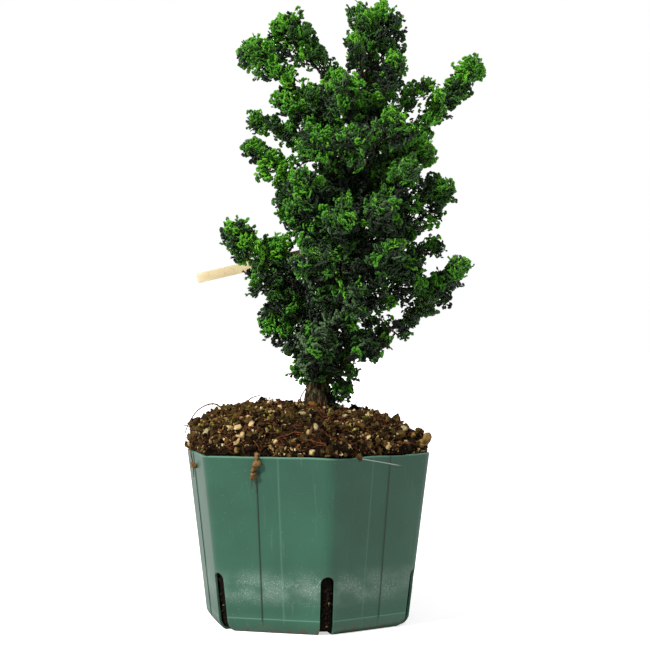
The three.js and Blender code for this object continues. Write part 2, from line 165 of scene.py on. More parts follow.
@dataclass(frozen=True)
class ScaleFoliage(PlainFinish):
    """Living scale leaves pressed flat on their twig: a waxy skin with a broad soft gloss."""

    name: str = "living scale foliage"
    roughness: float = 0.6
    ior: float = 1.4


@dataclass(frozen=True)
class ShreddingBark(Finish):
    """Cypress bark: grey weathered strips that lift along the trunk over warmer brown."""

    name: str = "weathered cypress bark"
    roughness: float = 0.88
    ior: float = 1.3
    strip: float = 1.6  # width of one strip of bark
    pale: str = "645a2f"
    middle: str = "1c160a"
    dark: str = "080502"

    def make(self) -> Material:
        """Makes the material: strips drawn out along the height, darker where they part.

        Returns:
            The material.
        """
        material, tree, shader = self.surface()
        place = add_node(tree, "TexCoord")
        drawn_out = add_node(
            tree, "Mapping", {"Scale": (1.0, 1.0, 0.16)}, {"Vector": place.outputs["Object"]}
        )
        strips = add_node(
            tree, "TexNoise", {"Scale": 1 / (self.strip * MM), "Detail": 5.0, "Roughness": 0.6},
            {"Vector": drawn_out.outputs[0]},
        )
        tint = add_node(
            tree, "ValToRGB", links={0: strips.outputs[0]},
            stops=((0.38, self.dark), (0.52, self.middle), (0.68, self.pale)),
        )
        tree.links.new(tint.outputs[0], shader.inputs["Base Color"])
        bump = add_node(
            tree, "Bump", {"Strength": 0.6, "Distance": 0.4 * MM}, {"Height": strips.outputs[0]}
        )
        tree.links.new(bump.outputs[0], shader.inputs["Normal"])
        return material


@dataclass(frozen=True)
class GreenBark(PlainFinish):
    """The thin red-brown skin of young cypress twigs, still smooth and faintly glossy."""

    name: str = "young twig bark"
    roughness: float = 0.6
    colour: str = "35241a"


@dataclass(frozen=True)
class MouldedPolypropylene(Finish):
    """Injection-moulded polypropylene: a satin skin, dulled by rubbing and hard water.

    The haze of lime, the specks and the scuffed edges show that it stood outdoors. Its lighter
    edges are partly painted highlight, and the dark line in the step of each sunk panel is painted
    shade.
    """

    name: str = "moulded polypropylene"
    roughness: float = 0.42
    ior: float = 1.49
    green: str = "224f3b"
    deeper: str = "1d4534"
    lime: str = "a3b1a6"
    # a lighter green: wear, and painted highlight on edges that catch the light
    wear_and_highlight: str = "5d8a74"
    # the pot's own green, darker: painted shade in the step along each sunk panel
    panel_shade: str = "14221b"
    dirt: str = "4d3f2b"
    haze: tuple[float, float] = (16.0, 49.0)  # heights between which hard water has dried
    gloss: float = 0.38  # a skin that rubbing has dulled mirrors less than new plastic does
    scratch_from: tuple[float, float] = (34.4, 122.2)
    scratch_to: tuple[float, float] = (67.7, 114.6)

    def make(self) -> Material:
        """Makes the material from the plastic's own tint up to the dirt, the painted highlights and
        the painted shade on it.

        Returns:
            The material.
        """
        material, tree, shader = self.surface()
        shader.inputs["Specular IOR Level"].default_value = self.gloss
        place = add_node(tree, "TexCoord").outputs["Object"]
        parts = add_node(tree, "SeparateXYZ", links={0: place})
        across, height = parts.outputs[0], parts.outputs[2]
        masks = {}
        for name, size, detail, stretch, low, high, top in (
            # name, width of a spot in mm, detail, stretch along Z, and where it is cut
            ("tint", 45.0, 3.0, 1.0, 0.3, 0.7, 1.0),
            ("cloud", 14.0, 9.0, 1.4, 0.2, 0.8, 0.19),
            ("grains", 0.8, 6.0, 1.0, 0.46, 0.68, 0.5),
            ("patches", 15.0, 6.0, 1.6, 0.34, 0.6, 1.0),
            ("streaks", 3.0, 3.0, 0.04, 0.6, 0.9, 0.09),
            ("dust", 0.9, 1.0, 1.0, 0.73, 0.79, 0.25),
            ("stains", 6.0, 4.0, 0.5, 0.42, 0.62, 0.75),
            ("skin", 1.6, 2.0, 1.0, 0.0, 1.0, 1.0),
        ):
            spread = add_node(tree, "Mapping", {"Scale": (1.0, 1.0, stretch)}, {"Vector": place})
            spots = add_node(
                tree, "TexNoise", {"Scale": 1 / (size * MM), "Detail": detail},
                {"Vector": spread.outputs[0]},
            )
            masks[name] = add_node(
                tree, "MapRange", {"From Min": low, "From Max": high, "To Max": top},
                {"Value": spots.outputs[0]}, interpolation_type="SMOOTHSTEP",
            ).outputs[0]
        # The scratch is a line drawn across the front right side, about 0.3 mm wide.
        (x, z), (far_x, far_z) = self.scratch_from, self.scratch_to
        slope = (far_z - z) / (far_x - x)
        line = add_node(
            tree, "Math", {1: slope, 2: (z - slope * x) * MM}, {0: across}, operation="MULTIPLY_ADD"
        ).outputs[0]
        line = add_node(tree, "Math", links={0: height, 1: line}, operation="SUBTRACT")
        line = add_node(tree, "Math", links={0: line.outputs[0]}, operation="ABSOLUTE")
        # The mesh carries two marks: a lighter green, partly wear and partly painted highlight, and
        # a dark line of painted shade.
        wear_and_highlight, panel_shade = (
            add_node(tree, "Attribute", attribute_type="GEOMETRY", attribute_name=name)
            for name in ("wear_and_highlight", "panel_shade")
        )
        for name, socket, low, high, top in (
            # name, what is read, where the mask begins and is full, and its strength
            ("above", height, self.haze[0] * MM, (self.haze[0] + 14) * MM, 1.0),
            ("below", height, self.haze[1] * MM, (self.haze[1] - 16) * MM, 1.0),
            ("foot", height, 9 * MM, 0.0, 1.0),
            ("line", line.outputs[0], 0.42 * MM, 0.12 * MM, 0.85),
            ("begun", across, x * MM, (x + 4) * MM, 1.0),
            ("ended", across, far_x * MM, (far_x - 6) * MM, 1.0),
            ("wear_and_highlight", wear_and_highlight.outputs["Fac"], 0.0, 1.0, 0.75),
            ("panel_shade", panel_shade.outputs["Fac"], 0.1, 0.9, 0.95),
        ):
            masks[name] = add_node(
                tree, "MapRange", {"From Min": low, "From Max": high, "To Max": top},
                {"Value": socket}, interpolation_type="SMOOTHSTEP",
            ).outputs[0]
        for name, one, other, kind in (
            # name, and the two masks that it is made of
            ("haze", "above", "below", "MULTIPLY"),
            ("cloud", "cloud", "haze", "MULTIPLY"),
            ("grains", "grains", "haze", "MULTIPLY"),
            ("grains", "grains", "patches", "MULTIPLY"),
            ("lime", "cloud", "grains", "MAXIMUM"),
            ("lime", "lime", "streaks", "MAXIMUM"),
            ("line", "line", "begun", "MULTIPLY"),
            ("line", "line", "ended", "MULTIPLY"),
            ("foot", "foot", "stains", "MULTIPLY"),
            ("rough", "lime", "foot", "MAXIMUM"),
        ):
            masks[name] = add_node(
                tree, "Math", links={0: masks[one], 1: masks[other]}, operation=kind
            ).outputs[0]
        tint = add_node(
            tree, "ValToRGB", links={0: masks["tint"]},
            stops=((0.0, self.deeper), (1.0, self.green)),
        ).outputs[0]
        for name, code in (
            ("lime", self.lime), ("dust", self.lime), ("wear_and_highlight", self.wear_and_highlight),
            ("panel_shade", self.panel_shade), ("line", self.lime), ("foot", self.dirt),
        ):
            tint = add_node(
                tree, "Mix", {7: linear(code)}, {0: masks[name], 6: tint}, data_type="RGBA"
            ).outputs[2]
        rough = add_node(
            tree, "MapRange", {"To Min": self.roughness, "To Max": 0.85}, {"Value": masks["rough"]}
        )
        skin = add_node(
            tree, "Bump", {"Strength": 0.12, "Distance": 0.3 * MM}, {"Height": masks["skin"]}
        )
        tree.links.new(tint, shader.inputs["Base Color"])
        tree.links.new(rough.outputs[0], shader.inputs["Roughness"])
        tree.links.new(skin.outputs[0], shader.inputs["Normal"])
        return material


@dataclass(frozen=True)
class Mineral(Finish):
    """Earthy matter, all of it matt: two tints that mottle at the size of its crumbs.

    It is porous, so hardly any clear light comes back from its skin.
    """

    name: str = "potting soil"
    roughness: float = 0.95
    ior: float = 1.2
    dark: str = "090502"
    light: str = "241808"
    # the darker tint: painted shade for the soil inside the pot that shows through the slits
    shade_tint: str = "0c0805"
    grain: float = 2.0  # size of its mottles, about that of its crumbs
    relief: float = 0.5  # depth of the roughness on them
    shaded_below: float | None = None  # the height under which it is painted darker, as painted shade for the soil inside the pot

    def make(self) -> Material:
        """Makes the material: mottled tint, and relief as deep as its crumbs ask.

        Returns:
            The material.
        """
        material, tree, shader = self.surface()
        place = add_node(tree, "TexCoord").outputs["Object"]
        crumbs = add_node(
            tree, "TexNoise", {"Scale": 1 / (self.grain * MM), "Detail": 4.0, "Roughness": 0.65},
            {"Vector": place},
        )
        tint = add_node(
            tree, "ValToRGB", links={0: crumbs.outputs[0]},
            stops=((0.34, self.dark), (0.66, self.light)),
        ).outputs[0]
        bump = add_node(
            tree, "Bump", {"Strength": 0.7, "Distance": self.relief * MM},
            {"Height": crumbs.outputs[0]},
        )
        # Below the given height the tint is painted darker: painted shade inside the pot, seen
        # through the slits.
        if self.shaded_below is not None:
            height = add_node(tree, "SeparateXYZ", links={0: place}).outputs[2]
            shade_share = add_node(
                tree, "MapRange",
                {"From Min": self.shaded_below * MM, "From Max": (self.shaded_below - 20) * MM},
                {"Value": height},
            )
            tint = add_node(
                tree, "Mix", {7: linear(self.shade_tint)}, {0: shade_share.outputs[0], 6: tint}, data_type="RGBA"
            ).outputs[2]
        tree.links.new(tint, shader.inputs["Base Color"])
        tree.links.new(bump.outputs[0], shader.inputs["Normal"])
        return material


@dataclass(frozen=True)
class LabelPlastic(Finish):
    """Calendered PVC plant label, cream with age: smooth, with rubbed-in smudges of soil."""

    name: str = "aged label plastic"
    roughness: float = 0.5
    ior: float = 1.53
    cream: str = "d5c8a0"
    yellowed: str = "c3b086"
    smudge: str = "7d6a4a"
    patch: float = 14.0  # size of the yellowed patches
    spot: float = 3.0  # size of a smudge of soil

    def make(self) -> Material:
        """Makes the material: uneven cream with faint smudges and no writing.

        Returns:
            The material.
        """
        material, tree, shader = self.surface()
        place = add_node(tree, "TexCoord").outputs["Object"]
        cloud = add_node(
            tree, "TexNoise", {"Scale": 1 / (self.patch * MM), "Detail": 3.0}, {"Vector": place}
        )
        tint = add_node(
            tree, "ValToRGB", links={0: cloud.outputs[0]},
            stops=((0.4, self.yellowed), (0.6, self.cream)),
        )
        spots = add_node(
            tree, "TexNoise", {"Scale": 1 / (self.spot * MM), "Detail": 5.0}, {"Vector": place}
        )
        share = add_node(
            tree, "MapRange", {"From Min": 0.58, "From Max": 0.75, "To Max": 0.5},
            {"Value": spots.outputs[0]},
        )
        mixed = add_node(
            tree, "Mix", {7: linear(self.smudge)}, {0: share.outputs[0], 6: tint.outputs[0]},
            data_type="RGBA",
        )
        tree.links.new(mixed.outputs[2], shader.inputs["Base Color"])
        return material


@dataclass(frozen=True)
class StudioFloor(Finish):
    """A studio floor in flat white paint, printed so bright that shadows on it hardly show."""

    name: str = "white studio floor"
    roughness: float = 0.9
    colour: str = "f6f6f6"
    glow: float = 0.6  # what the overexposure adds to it, as seen by the camera alone

    def make(self) -> Material:
        """Makes the material: one plain pale colour that is lifted where it is looked at.

        Returns:
            The material.
        """
        material, tree, shader = self.surface()
        path = add_node(tree, "LightPath")
        lift = add_node(
            tree, "Math", {1: self.glow}, {0: path.outputs["Is Camera Ray"]}, operation="MULTIPLY"
        )
        shader.inputs["Base Color"].default_value = linear(self.colour)
        shader.inputs["Emission Color"].default_value = linear("ffffff")
        tree.links.new(lift.outputs[0], shader.inputs["Emission Strength"])
        return material


# ---------- lines and meshes


def unit(vectors: Array) -> Array:
    """Vectors brought to a length of 1."""
    return vectors / np.maximum(np.linalg.norm(vectors, axis=-1, keepdims=True), 1e-9)


def polar(radius: float, angle: float) -> Array:
    """The x and y at a distance and an angle from the middle."""
    return radius * np.array([cos(angle), sin(angle)])


@dataclass
class Path:
    """A line through many points, read by the share of its length."""

    points: Array
    distances: Array = field(init=False)

    def __post_init__(self) -> None:
        """Measures the line."""
        steps = np.linalg.norm(np.diff(self.points, axis=0), axis=1)
        self.distances = np.concatenate([[0.0], np.cumsum(steps)])

    @property
    def length(self) -> float:
        """The line's length."""
        return float(self.distances[-1])

    def at(self, shares: Array | float) -> Array:
        """The points at some shares of the line's length.

        Args:
            shares: From 0 to 1.

        Returns:
            The points.
        """
        wanted = np.clip(shares, 0, 1) * self.length
        return np.stack(
            [np.interp(wanted, self.distances, self.points[:, i]) for i in range(3)], axis=-1
        )

    def along(self, shares: Array | float) -> Array:
        """The directions of the line at some shares of its length.

        Args:
            shares: From 0 to 1.

        Returns:
            Vectors of length 1.
        """
        step = 0.01
        shares = np.asarray(shares, dtype=float)
        ahead, behind = np.minimum(shares + step, 1), np.maximum(shares - step, 0)
        return unit(self.at(ahead) - self.at(behind))

    def part(self, start: float, end: float) -> "Path":
        """A part of the line as a line of its own, of 40 points."""
        return Path(self.at(np.linspace(start, end, 40)))


def smooth_path(corners: Array) -> Path:
    """A centripetal Catmull-Rom line, as the solids' source draws it.

    Args:
        corners: The few points that it runs through.

    Returns:
        The line, with 24 points to each stretch.
    """
    ends = np.vstack([2 * corners[0] - corners[1], corners, 2 * corners[-1] - corners[-2]])
    t = np.linspace(0, 1, 24, endpoint=False)[:, None]
    rows = []
    for a, b, c, d in zip(ends, ends[1:], ends[2:], ends[3:]):
        ab, bc, cd = (np.linalg.norm(q - p) ** 0.5 for p, q in ((a, b), (b, c), (c, d)))
        leave = ((b - a) / ab - (c - a) / (ab + bc) + (c - b) / bc) * bc
        arrive = ((c - b) / bc - (d - b) / (bc + cd) + (d - c) / cd) * bc
        square, cube = 3 * (c - b) - 2 * leave - arrive, 2 * (b - c) + leave + arrive
        rows.append(b + leave * t + square * t**2 + cube * t**3)
    return Path(np.vstack([*rows, corners[-1:]]))


def bent_path(start: Array, control: Array, end: Array) -> Path:
    """A line that leaves `start` towards `control` and arrives at `end` from it."""
    t = np.linspace(0, 1, 60)[:, None]
    return Path((1 - t) ** 2 * start + 2 * t * (1 - t) * control + t**2 * end)


def mesh_of_triangles(name: str, points: Array, triangles: Array, angular: bool = False) -> Mesh:
    """Joins many small things as one mesh.

    Args:
        name: The mesh's name.
        points: Corners in millimetres.
        triangles: Three corner numbers for each face.
        angular: Whether its faces look flat, as on broken crumbs.

    Returns:
        The mesh, in metres.
    """
    mesh = bpy.data.meshes.new(name)
    mesh.vertices.add(len(points))
    mesh.vertices.foreach_set("co", (points * MM).astype(np.float32).ravel())
    mesh.loops.add(triangles.size)
    mesh.loops.foreach_set("vertex_index", triangles.astype(np.int32).ravel())
    mesh.polygons.add(len(triangles))
    mesh.polygons.foreach_set("loop_start", np.arange(0, triangles.size, 3, dtype=np.int32))
    mesh.update(calc_edges=True)
    if angular:
        mesh.shade_flat()
    else:
        mesh.shade_smooth()
    return mesh


def mesh_of(bm: bmesh.types.BMesh, name: str, crease: float | None = None) -> Mesh:
    """Ends a bmesh as a mesh in metres, smooth up to an angle between faces.

    Args:
        bm: The bmesh, in millimetres. It is freed.
        name: The mesh's name.
        crease: The angle in degrees from which an edge looks sharp, if any.

    Returns:
        The mesh.
    """
    bmesh.ops.scale(bm, vec=(MM, MM, MM), verts=bm.verts)
    mesh = bpy.data.meshes.new(name)
    bm.to_mesh(mesh)
    bm.free()
    mesh.shade_smooth()
    if crease is not None:
        mesh.set_sharp_from_angle(angle=radians(crease))
    return mesh


def new_object(name: str, data: bpy.types.ID) -> Object:
    """Makes an object of a mesh, a camera or a light and links it to the scene.

    Args:
        name: The object's name.
        data: What it shows.

    Returns:
        The object.
    """
    made = bpy.data.objects.new(name, data)
    bpy.context.scene.collection.objects.link(made)
    return made


def add_piece(mesh: Mesh, material: Material, stands_for: Iterable[str] = ()) -> None:
    """Puts a finished mesh on the plant's one body.

    Args:
        mesh: The mesh, in place and in metres. The piece takes its name.
        material: Its finish.
        stands_for: The CAD nodes that it replaces.
    """
    mesh.materials.append(material)
    piece = new_object(mesh.name, mesh)
    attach(piece, "root")
    if stands_for:
        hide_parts(*stands_for)
    mesh.calc_loop_triangles()
    LOG.info("%s: %d triangles", mesh.name, len(mesh.loop_triangles))


def add_column(
    bm: bmesh.types.BMesh, sides: int, rows: int, place: Callable[[float, float], Array]
) -> None:
    """Adds a closed column: a plain cylinder cut into rows and moved into shape.

    Args:
        bm: The bmesh that it goes into.
        sides: Corners in each row.
        rows: Rows from one end to the other.
        place: The point for a turn and a height, both as shares from 0 to 1.
    """
    column = bmesh.new()
    bmesh.ops.create_cone(
        column, cap_ends=True, cap_tris=False, segments=sides, radius1=1, radius2=1, depth=2
    )
    uprights = [e for e in column.edges if abs(e.verts[0].co.z - e.verts[1].co.z) > 1]
    bmesh.ops.subdivide_edges(column, edges=uprights, cuts=rows - 2, use_grid_fill=True)
    for vertex in column.verts:
        x, y, z = vertex.co
        vertex.co = Vector(place((atan2(y, x) / tau) % 1.0, (z + 1) / 2))
    mesh = bpy.data.meshes.new("column")
    column.to_mesh(mesh)
    column.free()
    bm.from_mesh(mesh)
    bpy.data.meshes.remove(mesh)


def tubes(lines: Array, radii: Array, sides: int) -> Shape:
    """Many thin tubes of equal make, closed at both ends.

    Args:
        lines: The centre lines, as (tubes, rings, 3).
        radii: The radius at each ring, as (tubes, rings).
        sides: Corners in each ring.

    Returns:
        Corners and triangles.
    """
    count, rings, _ = lines.shape
    along = unit(np.gradient(lines, axis=1))
    mean = unit(lines[:, -1] - lines[:, 0])
    helper = np.where(np.abs(mean[:, 2:]) < 0.9, [[0.0, 0.0, 1.0]], [[1.0, 0.0, 0.0]])
    side = unit(np.cross(helper[:, None, :], along))
    across = np.cross(along, side)
    turn = np.arange(sides) / sides * tau
    ring = (
        side[:, :, None, :] * np.cos(turn)[:, None] + across[:, :, None, :] * np.sin(turn)[:, None]
    )
    points = lines[:, :, None, :] + ring * radii[:, :, None, None]
    walls = []
    for row in range(rings - 1):
        for k in range(sides):
            a, b = row * sides + k, row * sides + (k + 1) % sides
            walls += [(a, b, b + sides), (a, b + sides, a + sides)]
    last = (rings - 1) * sides
    walls += [(0, k + 1, k) for k in range(1, sides - 1)]
    walls += [(last, last + k, last + k + 1) for k in range(1, sides - 1)]
    one = np.array(walls)
    triangles = one[None] + (np.arange(count) * rings * sides)[:, None, None]
    return points.reshape(-1, 3), triangles.reshape(-1, 3)


def joined(parts: list[Shape]) -> Shape:
    """Several sets of corners and triangles as one set.

    Args:
        parts: The sets.

    Returns:
        Corners and triangles.
    """
    starts = np.cumsum([0, *[len(points) for points, _ in parts[:-1]]])
    return (
        np.vstack([points for points, _ in parts]),
        np.vstack([triangles + start for (_, triangles), start in zip(parts, starts)]),
    )


def scattered(shape: Shape, places: Array, frames: Array, sizes: Array) -> Shape:
    """Copies of one small shape, joined.

    Args:
        shape: Its corners and triangles.
        places: Where each copy goes, as (copies, 3).
        frames: Each copy's own axes as rows, as (copies, 3, 3).
        sizes: Each copy's scale, one number or three.

    Returns:
        Corners and triangles.
    """
    corners, triangles = shape
    sizes = np.asarray(sizes, dtype=float).reshape(len(places), 1, -1)
    points = np.einsum("nvi,nij->nvj", corners[None] * sizes, frames) + places[:, None, :]
    faces = triangles[None] + (np.arange(len(places)) * len(corners))[:, None, None]
    return points.reshape(-1, 3), faces.reshape(-1, 3)


def frames_towards(directions: Array, rolls: Array) -> Array:
    """Axes for copies whose own y axis points a given way, rolled about it.

    Args:
        directions: The ways, as (copies, 3).
        rolls: The angle by which each is rolled.

    Returns:
        The axes as rows, as (copies, 3, 3).
    """
    helper = np.where(np.abs(directions[:, 2:]) < 0.95, [[0.0, 0.0, 1.0]], [[1.0, 0.0, 0.0]])
    side = unit(np.cross(directions, helper))
    normal = np.cross(side, directions)
    c, s = np.cos(rolls)[:, None], np.sin(rolls)[:, None]
    return np.stack([side * c + normal * s, directions, normal * c - side * s], axis=1)


# ---------- trunk and limbs


@dataclass
class Trunk:
    """The trunk, from the flat cut at ground level to the fork under the top mass."""

    line: tuple = (
        (7.8, 0, 155.3), (7.8, 0, 166), (12, 2, 190), (19, 2, 218), (27, 1, 250),
        (33, -1, 285), (37, 0, 320), (39, 1, 352), (40.5, 0, 378),
    )
    radius: float = 7.4
    tip_radius: float = 1.9
    flare: float = 2.8
    flare_height: float = 13.0
    sides: int = 48
    rows: int = 190
    relief: float = 0.75
    path: Path = field(init=False)

    def __post_init__(self) -> None:
        """Draws the trunk's middle line."""
        self.path = smooth_path(np.array(self.line, dtype=float))

    def radius_at(self, share: Array | float, angle: Array | float = 0.0) -> Array:
        """The radius: an even taper, with a lobed flare at the root.

        Args:
            share: The share of the trunk's length.
            angle: The angle round it.

        Returns:
            The radius.
        """
        height = np.asarray(share) * self.path.length
        flare = np.exp(-((height / self.flare_height) ** 2)) * self.flare
        taper = self.radius + (self.tip_radius - self.radius) * np.asarray(share) ** 0.9
        return taper + flare * (1 + 0.3 * np.cos(3 * np.asarray(angle)))

    def fork(self, height: float) -> Array:
        """The point of the trunk's middle line at a height."""
        distance = np.interp(height, self.path.points[:, 2], self.path.distances)
        return self.path.at(distance / self.path.length)


def bark_relief(turn: float, run: float, girth: float, depth: float) -> float:
    """How far bark stands out or sinks: strips along the wood, split and lifted.

    Args:
        turn: The angle round the limb.
        run: The distance along it.
        girth: Its radius there.
        depth: The depth of the relief.

    Returns:
        A distance along the surface's normal.
    """
    x, y = cos(turn) * girth, sin(turn) * girth
    twist = run * 0.035
    strips = noise(Vector((x * 0.62 + twist, y * 0.62 - twist, run * 0.055)))
    splits = abs(noise(Vector((x * 0.9, y * 0.9, run * 0.11 + 7))))
    flakes = noise(Vector((x * 1.5, y * 1.5, run * 0.3 + 31)))
    return depth * (1.1 * strips - 0.9 * max(0.0, 0.22 - splits) / 0.22 + 0.45 * flakes)


def add_limb(
    bm: bmesh.types.BMesh,
    path: Path,
    radius: Callable[[float, float], float],
    sides: int,
    rows: int,
    relief: float,
) -> None:
    """Adds one barked limb round a line.

    Args:
        bm: The bmesh that it goes into.
        path: The limb's middle line.
        radius: The radius for a share of the length and an angle.
        sides: Corners round it.
        rows: Rows along it.
        relief: The depth of its bark.
    """
    shares = np.linspace(0, 1, rows)
    centres, along = path.at(shares), path.along(shares)
    sideways = [unit(np.array([1.0, 0.0, 0.0]) - along[0] * along[0][0])]
    for way in along[1:]:
        sideways.append(unit(sideways[-1] - way * (sideways[-1] @ way)))

    def place(turn: float, height: float) -> Array:
        """The point of the bark.

        Args:
            turn: The share of a turn round the limb.
            height: The share of its length.

        Returns:
            The point.
        """
        row = round(height * (rows - 1))
        angle = turn * tau
        side, across = sideways[row], np.cross(along[row], sideways[row])
        out = float(radius(shares[row], angle))
        if 0 < row < rows - 1:
            out += bark_relief(angle, shares[row] * path.length, out, relief)
        return centres[row] + (side * cos(angle) + across * sin(angle)) * out

    add_column(bm, sides, rows, place)


@dataclass(frozen=True)
class Limb:
    """One limb as the grower sees it.

    The fields up to `end` are those of the solids' source. Some tips, one bend, one girth and one
    end differ a little, because sprays stand out further than a solid's skin does.
    """

    name: str
    fork: float
    tip: tuple[float, float, float]
    girth: float
    out: float = 0.5
    bare: float = 0.0
    end: float = 1.0
    vigour_and_light: float = 0.5  # how much of its foliage is this year's bright growth; on limbs that the crown's own shade darkens it is raised as painted light


LIMBS = (
    Limb("top", 378, (52, -3, 444), 25, end=1.05, vigour_and_light=0.4),
    Limb("upper_left_inner", 345, (-24, 4, 435), 18, out=0.4, bare=0.3, vigour_and_light=0.8),
    Limb("upper_left_outer", 322, (-46, -12, 413.5), 14.5, out=0.35, bare=0.24, vigour_and_light=0.8),
    Limb("left_bump", 316, (-23, -10, 379), 12, out=0.4),
    Limb("left_arm_high", 308, (-43, 10, 364), 10.5, out=0.3, bare=0.36, vigour_and_light=0.55),
    Limb("left_arm_low", 284, (-45, 0, 344), 13, end=0.75, bare=0.3, vigour_and_light=0.55),
    Limb("left_side", 272, (-22, 4, 311), 14.5, vigour_and_light=0.8),
    Limb("right_arm", 300, (126.5, 12, 405), 12.5, bare=0.38, vigour_and_light=0.52),
    Limb("right_arm_short", 330, (94, 20, 391), 9.5, out=0.36, bare=0.34),
    Limb("upper_right", 340, (66, -20, 408), 13, bare=0.2, vigour_and_light=0.95),
    Limb("right_shoulder", 290, (88, -4, 347), 18, bare=0.2, vigour_and_light=1.1),
    Limb("right_side", 268, (105, -6, 316), 18, bare=0.2, vigour_and_light=1.0),
    Limb("right_low_tuft", 238, (98.5, 14, 271), 10, bare=0.36, vigour_and_light=0.45),
    Limb("right_low_arm", 178, (115, -4, 260), 16.5, end=0.6, out=0.6, bare=0.16, vigour_and_light=0.4),
    Limb("right_low_inner", 206, (83, -22, 256), 16.5, out=0.53, vigour_and_light=0.6),
    Limb("left_low_arm", 200, (-53, -22, 288.5), 14.5, end=0.85, out=0.66, bare=0.24, vigour_and_light=0.55),
    Limb("left_low_side", 204, (-30, -6, 275), 18, vigour_and_light=0.75),
    Limb("left_lowest", 182, (-33, -2, 221), 11.5, vigour_and_light=0.55),
    Limb("foot_right", 160, (34, -9, 169), 12, vigour_and_light=0.55),
    Limb("foot_left", 164, (-8, -6, 188), 12, vigour_and_light=0.3),
    Limb("front_crown", 345, (22, -38, 387), 18, vigour_and_light=0.42),
    Limb("front_upper_right", 322, (69, -42, 360), 17, vigour_and_light=0.35),
    Limb("front_upper_middle", 312, (35, -54, 348), 18, vigour_and_light=0.42),
    Limb("front_upper_left", 300, (-2, -44, 346), 18, vigour_and_light=0.6),
    Limb("front_left", 276, (-10, -46, 317), 18, vigour_and_light=0.6),
    Limb("front_right", 286, (78, -38, 327), 17, vigour_and_light=0.36),
    Limb("front_middle_left", 262, (24, -60, 293), 18, vigour_and_light=0.6),
    Limb("front_middle_right", 258, (60, -56, 297), 18, vigour_and_light=0.44),
    Limb("front_low_right", 232, (66, -48, 271), 17, vigour_and_light=0.6),
    Limb("front_low_left", 222, (0, -54, 268), 19, vigour_and_light=0.45),
    Limb("front_low", 196, (36, -46, 240), 18, vigour_and_light=0.2),
    Limb("front_foot", 168, (8, -38, 212), 17, vigour_and_light=0.0),
    Limb("front_foot_right", 166, (50, -20, 205), 15, vigour_and_light=0.35),
    Limb("back_crown", 350, (60, 42, 404), 17, vigour_and_light=0.65),
    Limb("back_upper_left", 318, (-2, 60, 388), 17, bare=0.2),
    Limb("back_upper_right", 294, (82, 60, 356), 19, out=0.55, vigour_and_light=0.65),
    Limb("back_middle", 270, (24, 76, 332), 20, out=0.55),
    Limb("back_left", 252, (-14, 48, 308), 17, vigour_and_light=0.6),
    Limb("back_right", 236, (82, 52, 288), 18, vigour_and_light=0.4),
    Limb("back_low", 212, (24, 70, 266), 19, out=0.55, vigour_and_light=0.4),
    Limb("back_low_left", 190, (-20, 36, 240), 17, vigour_and_light=0.75),
    Limb("back_foot", 168, (38, 38, 206), 15, vigour_and_light=0.3),
)


@dataclass
class GrownLimb:
    """A limb laid out in space: its bough, its stem and the balls that its mass is made of."""

    limb: Limb
    trunk: Trunk
    bough: Path | None = field(init=False)
    stem: Path = field(init=False)
    centres: Array = field(init=False)
    radii: Array = field(init=False)

    CLEARANCE = 0.3  # between a bough and its mass
    BALLS = 13
    NECK = 0.6  # the share of its girth with which a mass begins
    FULL_AT = 0.7  # the share of its stem at which it is full

    def __post_init__(self) -> None:
        """Draws the limb from the trunk's middle to the end of its foliage."""
        limb = self.limb
        start, end = self.trunk.fork(limb.fork), np.array(limb.tip, dtype=float)
        middle = start + (end - start) * limb.out
        middle[2] = (start[2] + end[2]) / 2
        whole = bent_path(start, 2 * middle - (start + end) / 2, end)
        first = limb.bare + self.CLEARANCE / whole.length if limb.bare > 0 else 0.0
        last = max(1 - limb.girth * limb.end / whole.length, first + 0.2)
        self.bough = whole.part(0, limb.bare) if limb.bare > 0 else None
        self.stem = whole.part(first, last)
        shares = np.linspace(0, 1, self.BALLS)
        self.centres, self.radii = self.stem.at(shares), self.girth_at(shares)

    def girth_at(self, share: Array) -> Array:
        """How wide the mass is: it swells from its neck, and may taper again.

        Args:
            share: The share of the stem's length.

        Returns:
            The radius.
        """
        grown = np.minimum(share / self.FULL_AT, 1)
        swell = self.NECK + (1 - self.NECK) * np.sin(grown * pi / 2)
        return self.limb.girth * swell * (1 + (self.limb.end - 1) * share**2)

    @property
    def mass_node(self) -> str:
        """The CAD node of its foliage."""
        return f"foliage_{self.limb.name}"


@dataclass
class Wood:
    """Trunk, boughs and the stems that run on inside the foliage."""

    trunk: Trunk
    limbs: list[GrownLimb]
    bough_radius: tuple[float, float] = (2.4, 1.3)
    stem_radius: tuple[float, float] = (1.35, 0.7)

    def build(self) -> None:
        """Builds the three pieces of wood."""
        bark = ShreddingBark().make()
        bm = bmesh.new()
        trunk = self.trunk
        add_limb(bm, trunk.path, trunk.radius_at, trunk.sides, trunk.rows, trunk.relief)
        add_piece(mesh_of(bm, "trunk_bark"), bark, ["trunk"])
        boughs = [grown for grown in self.limbs if grown.bough]
        names = [f"bough_{grown.limb.name}" for grown in boughs]
        for name, paths, (thick, thin), sides, rows, relief, nodes in (
            ("bough_bark", [g.bough for g in boughs], self.bough_radius, 16, 40, 0.3, names),
            ("stem_bark", [g.stem for g in self.limbs], self.stem_radius, 7, 14, 0.12, []),
        ):
            bm = bmesh.new()
            for path in paths:
                add_limb(
                    bm, path, lambda share, _: thick + (thin - thick) * share, sides, rows, relief
                )
            add_piece(mesh_of(bm, name), bark, nodes)


# ---------- foliage


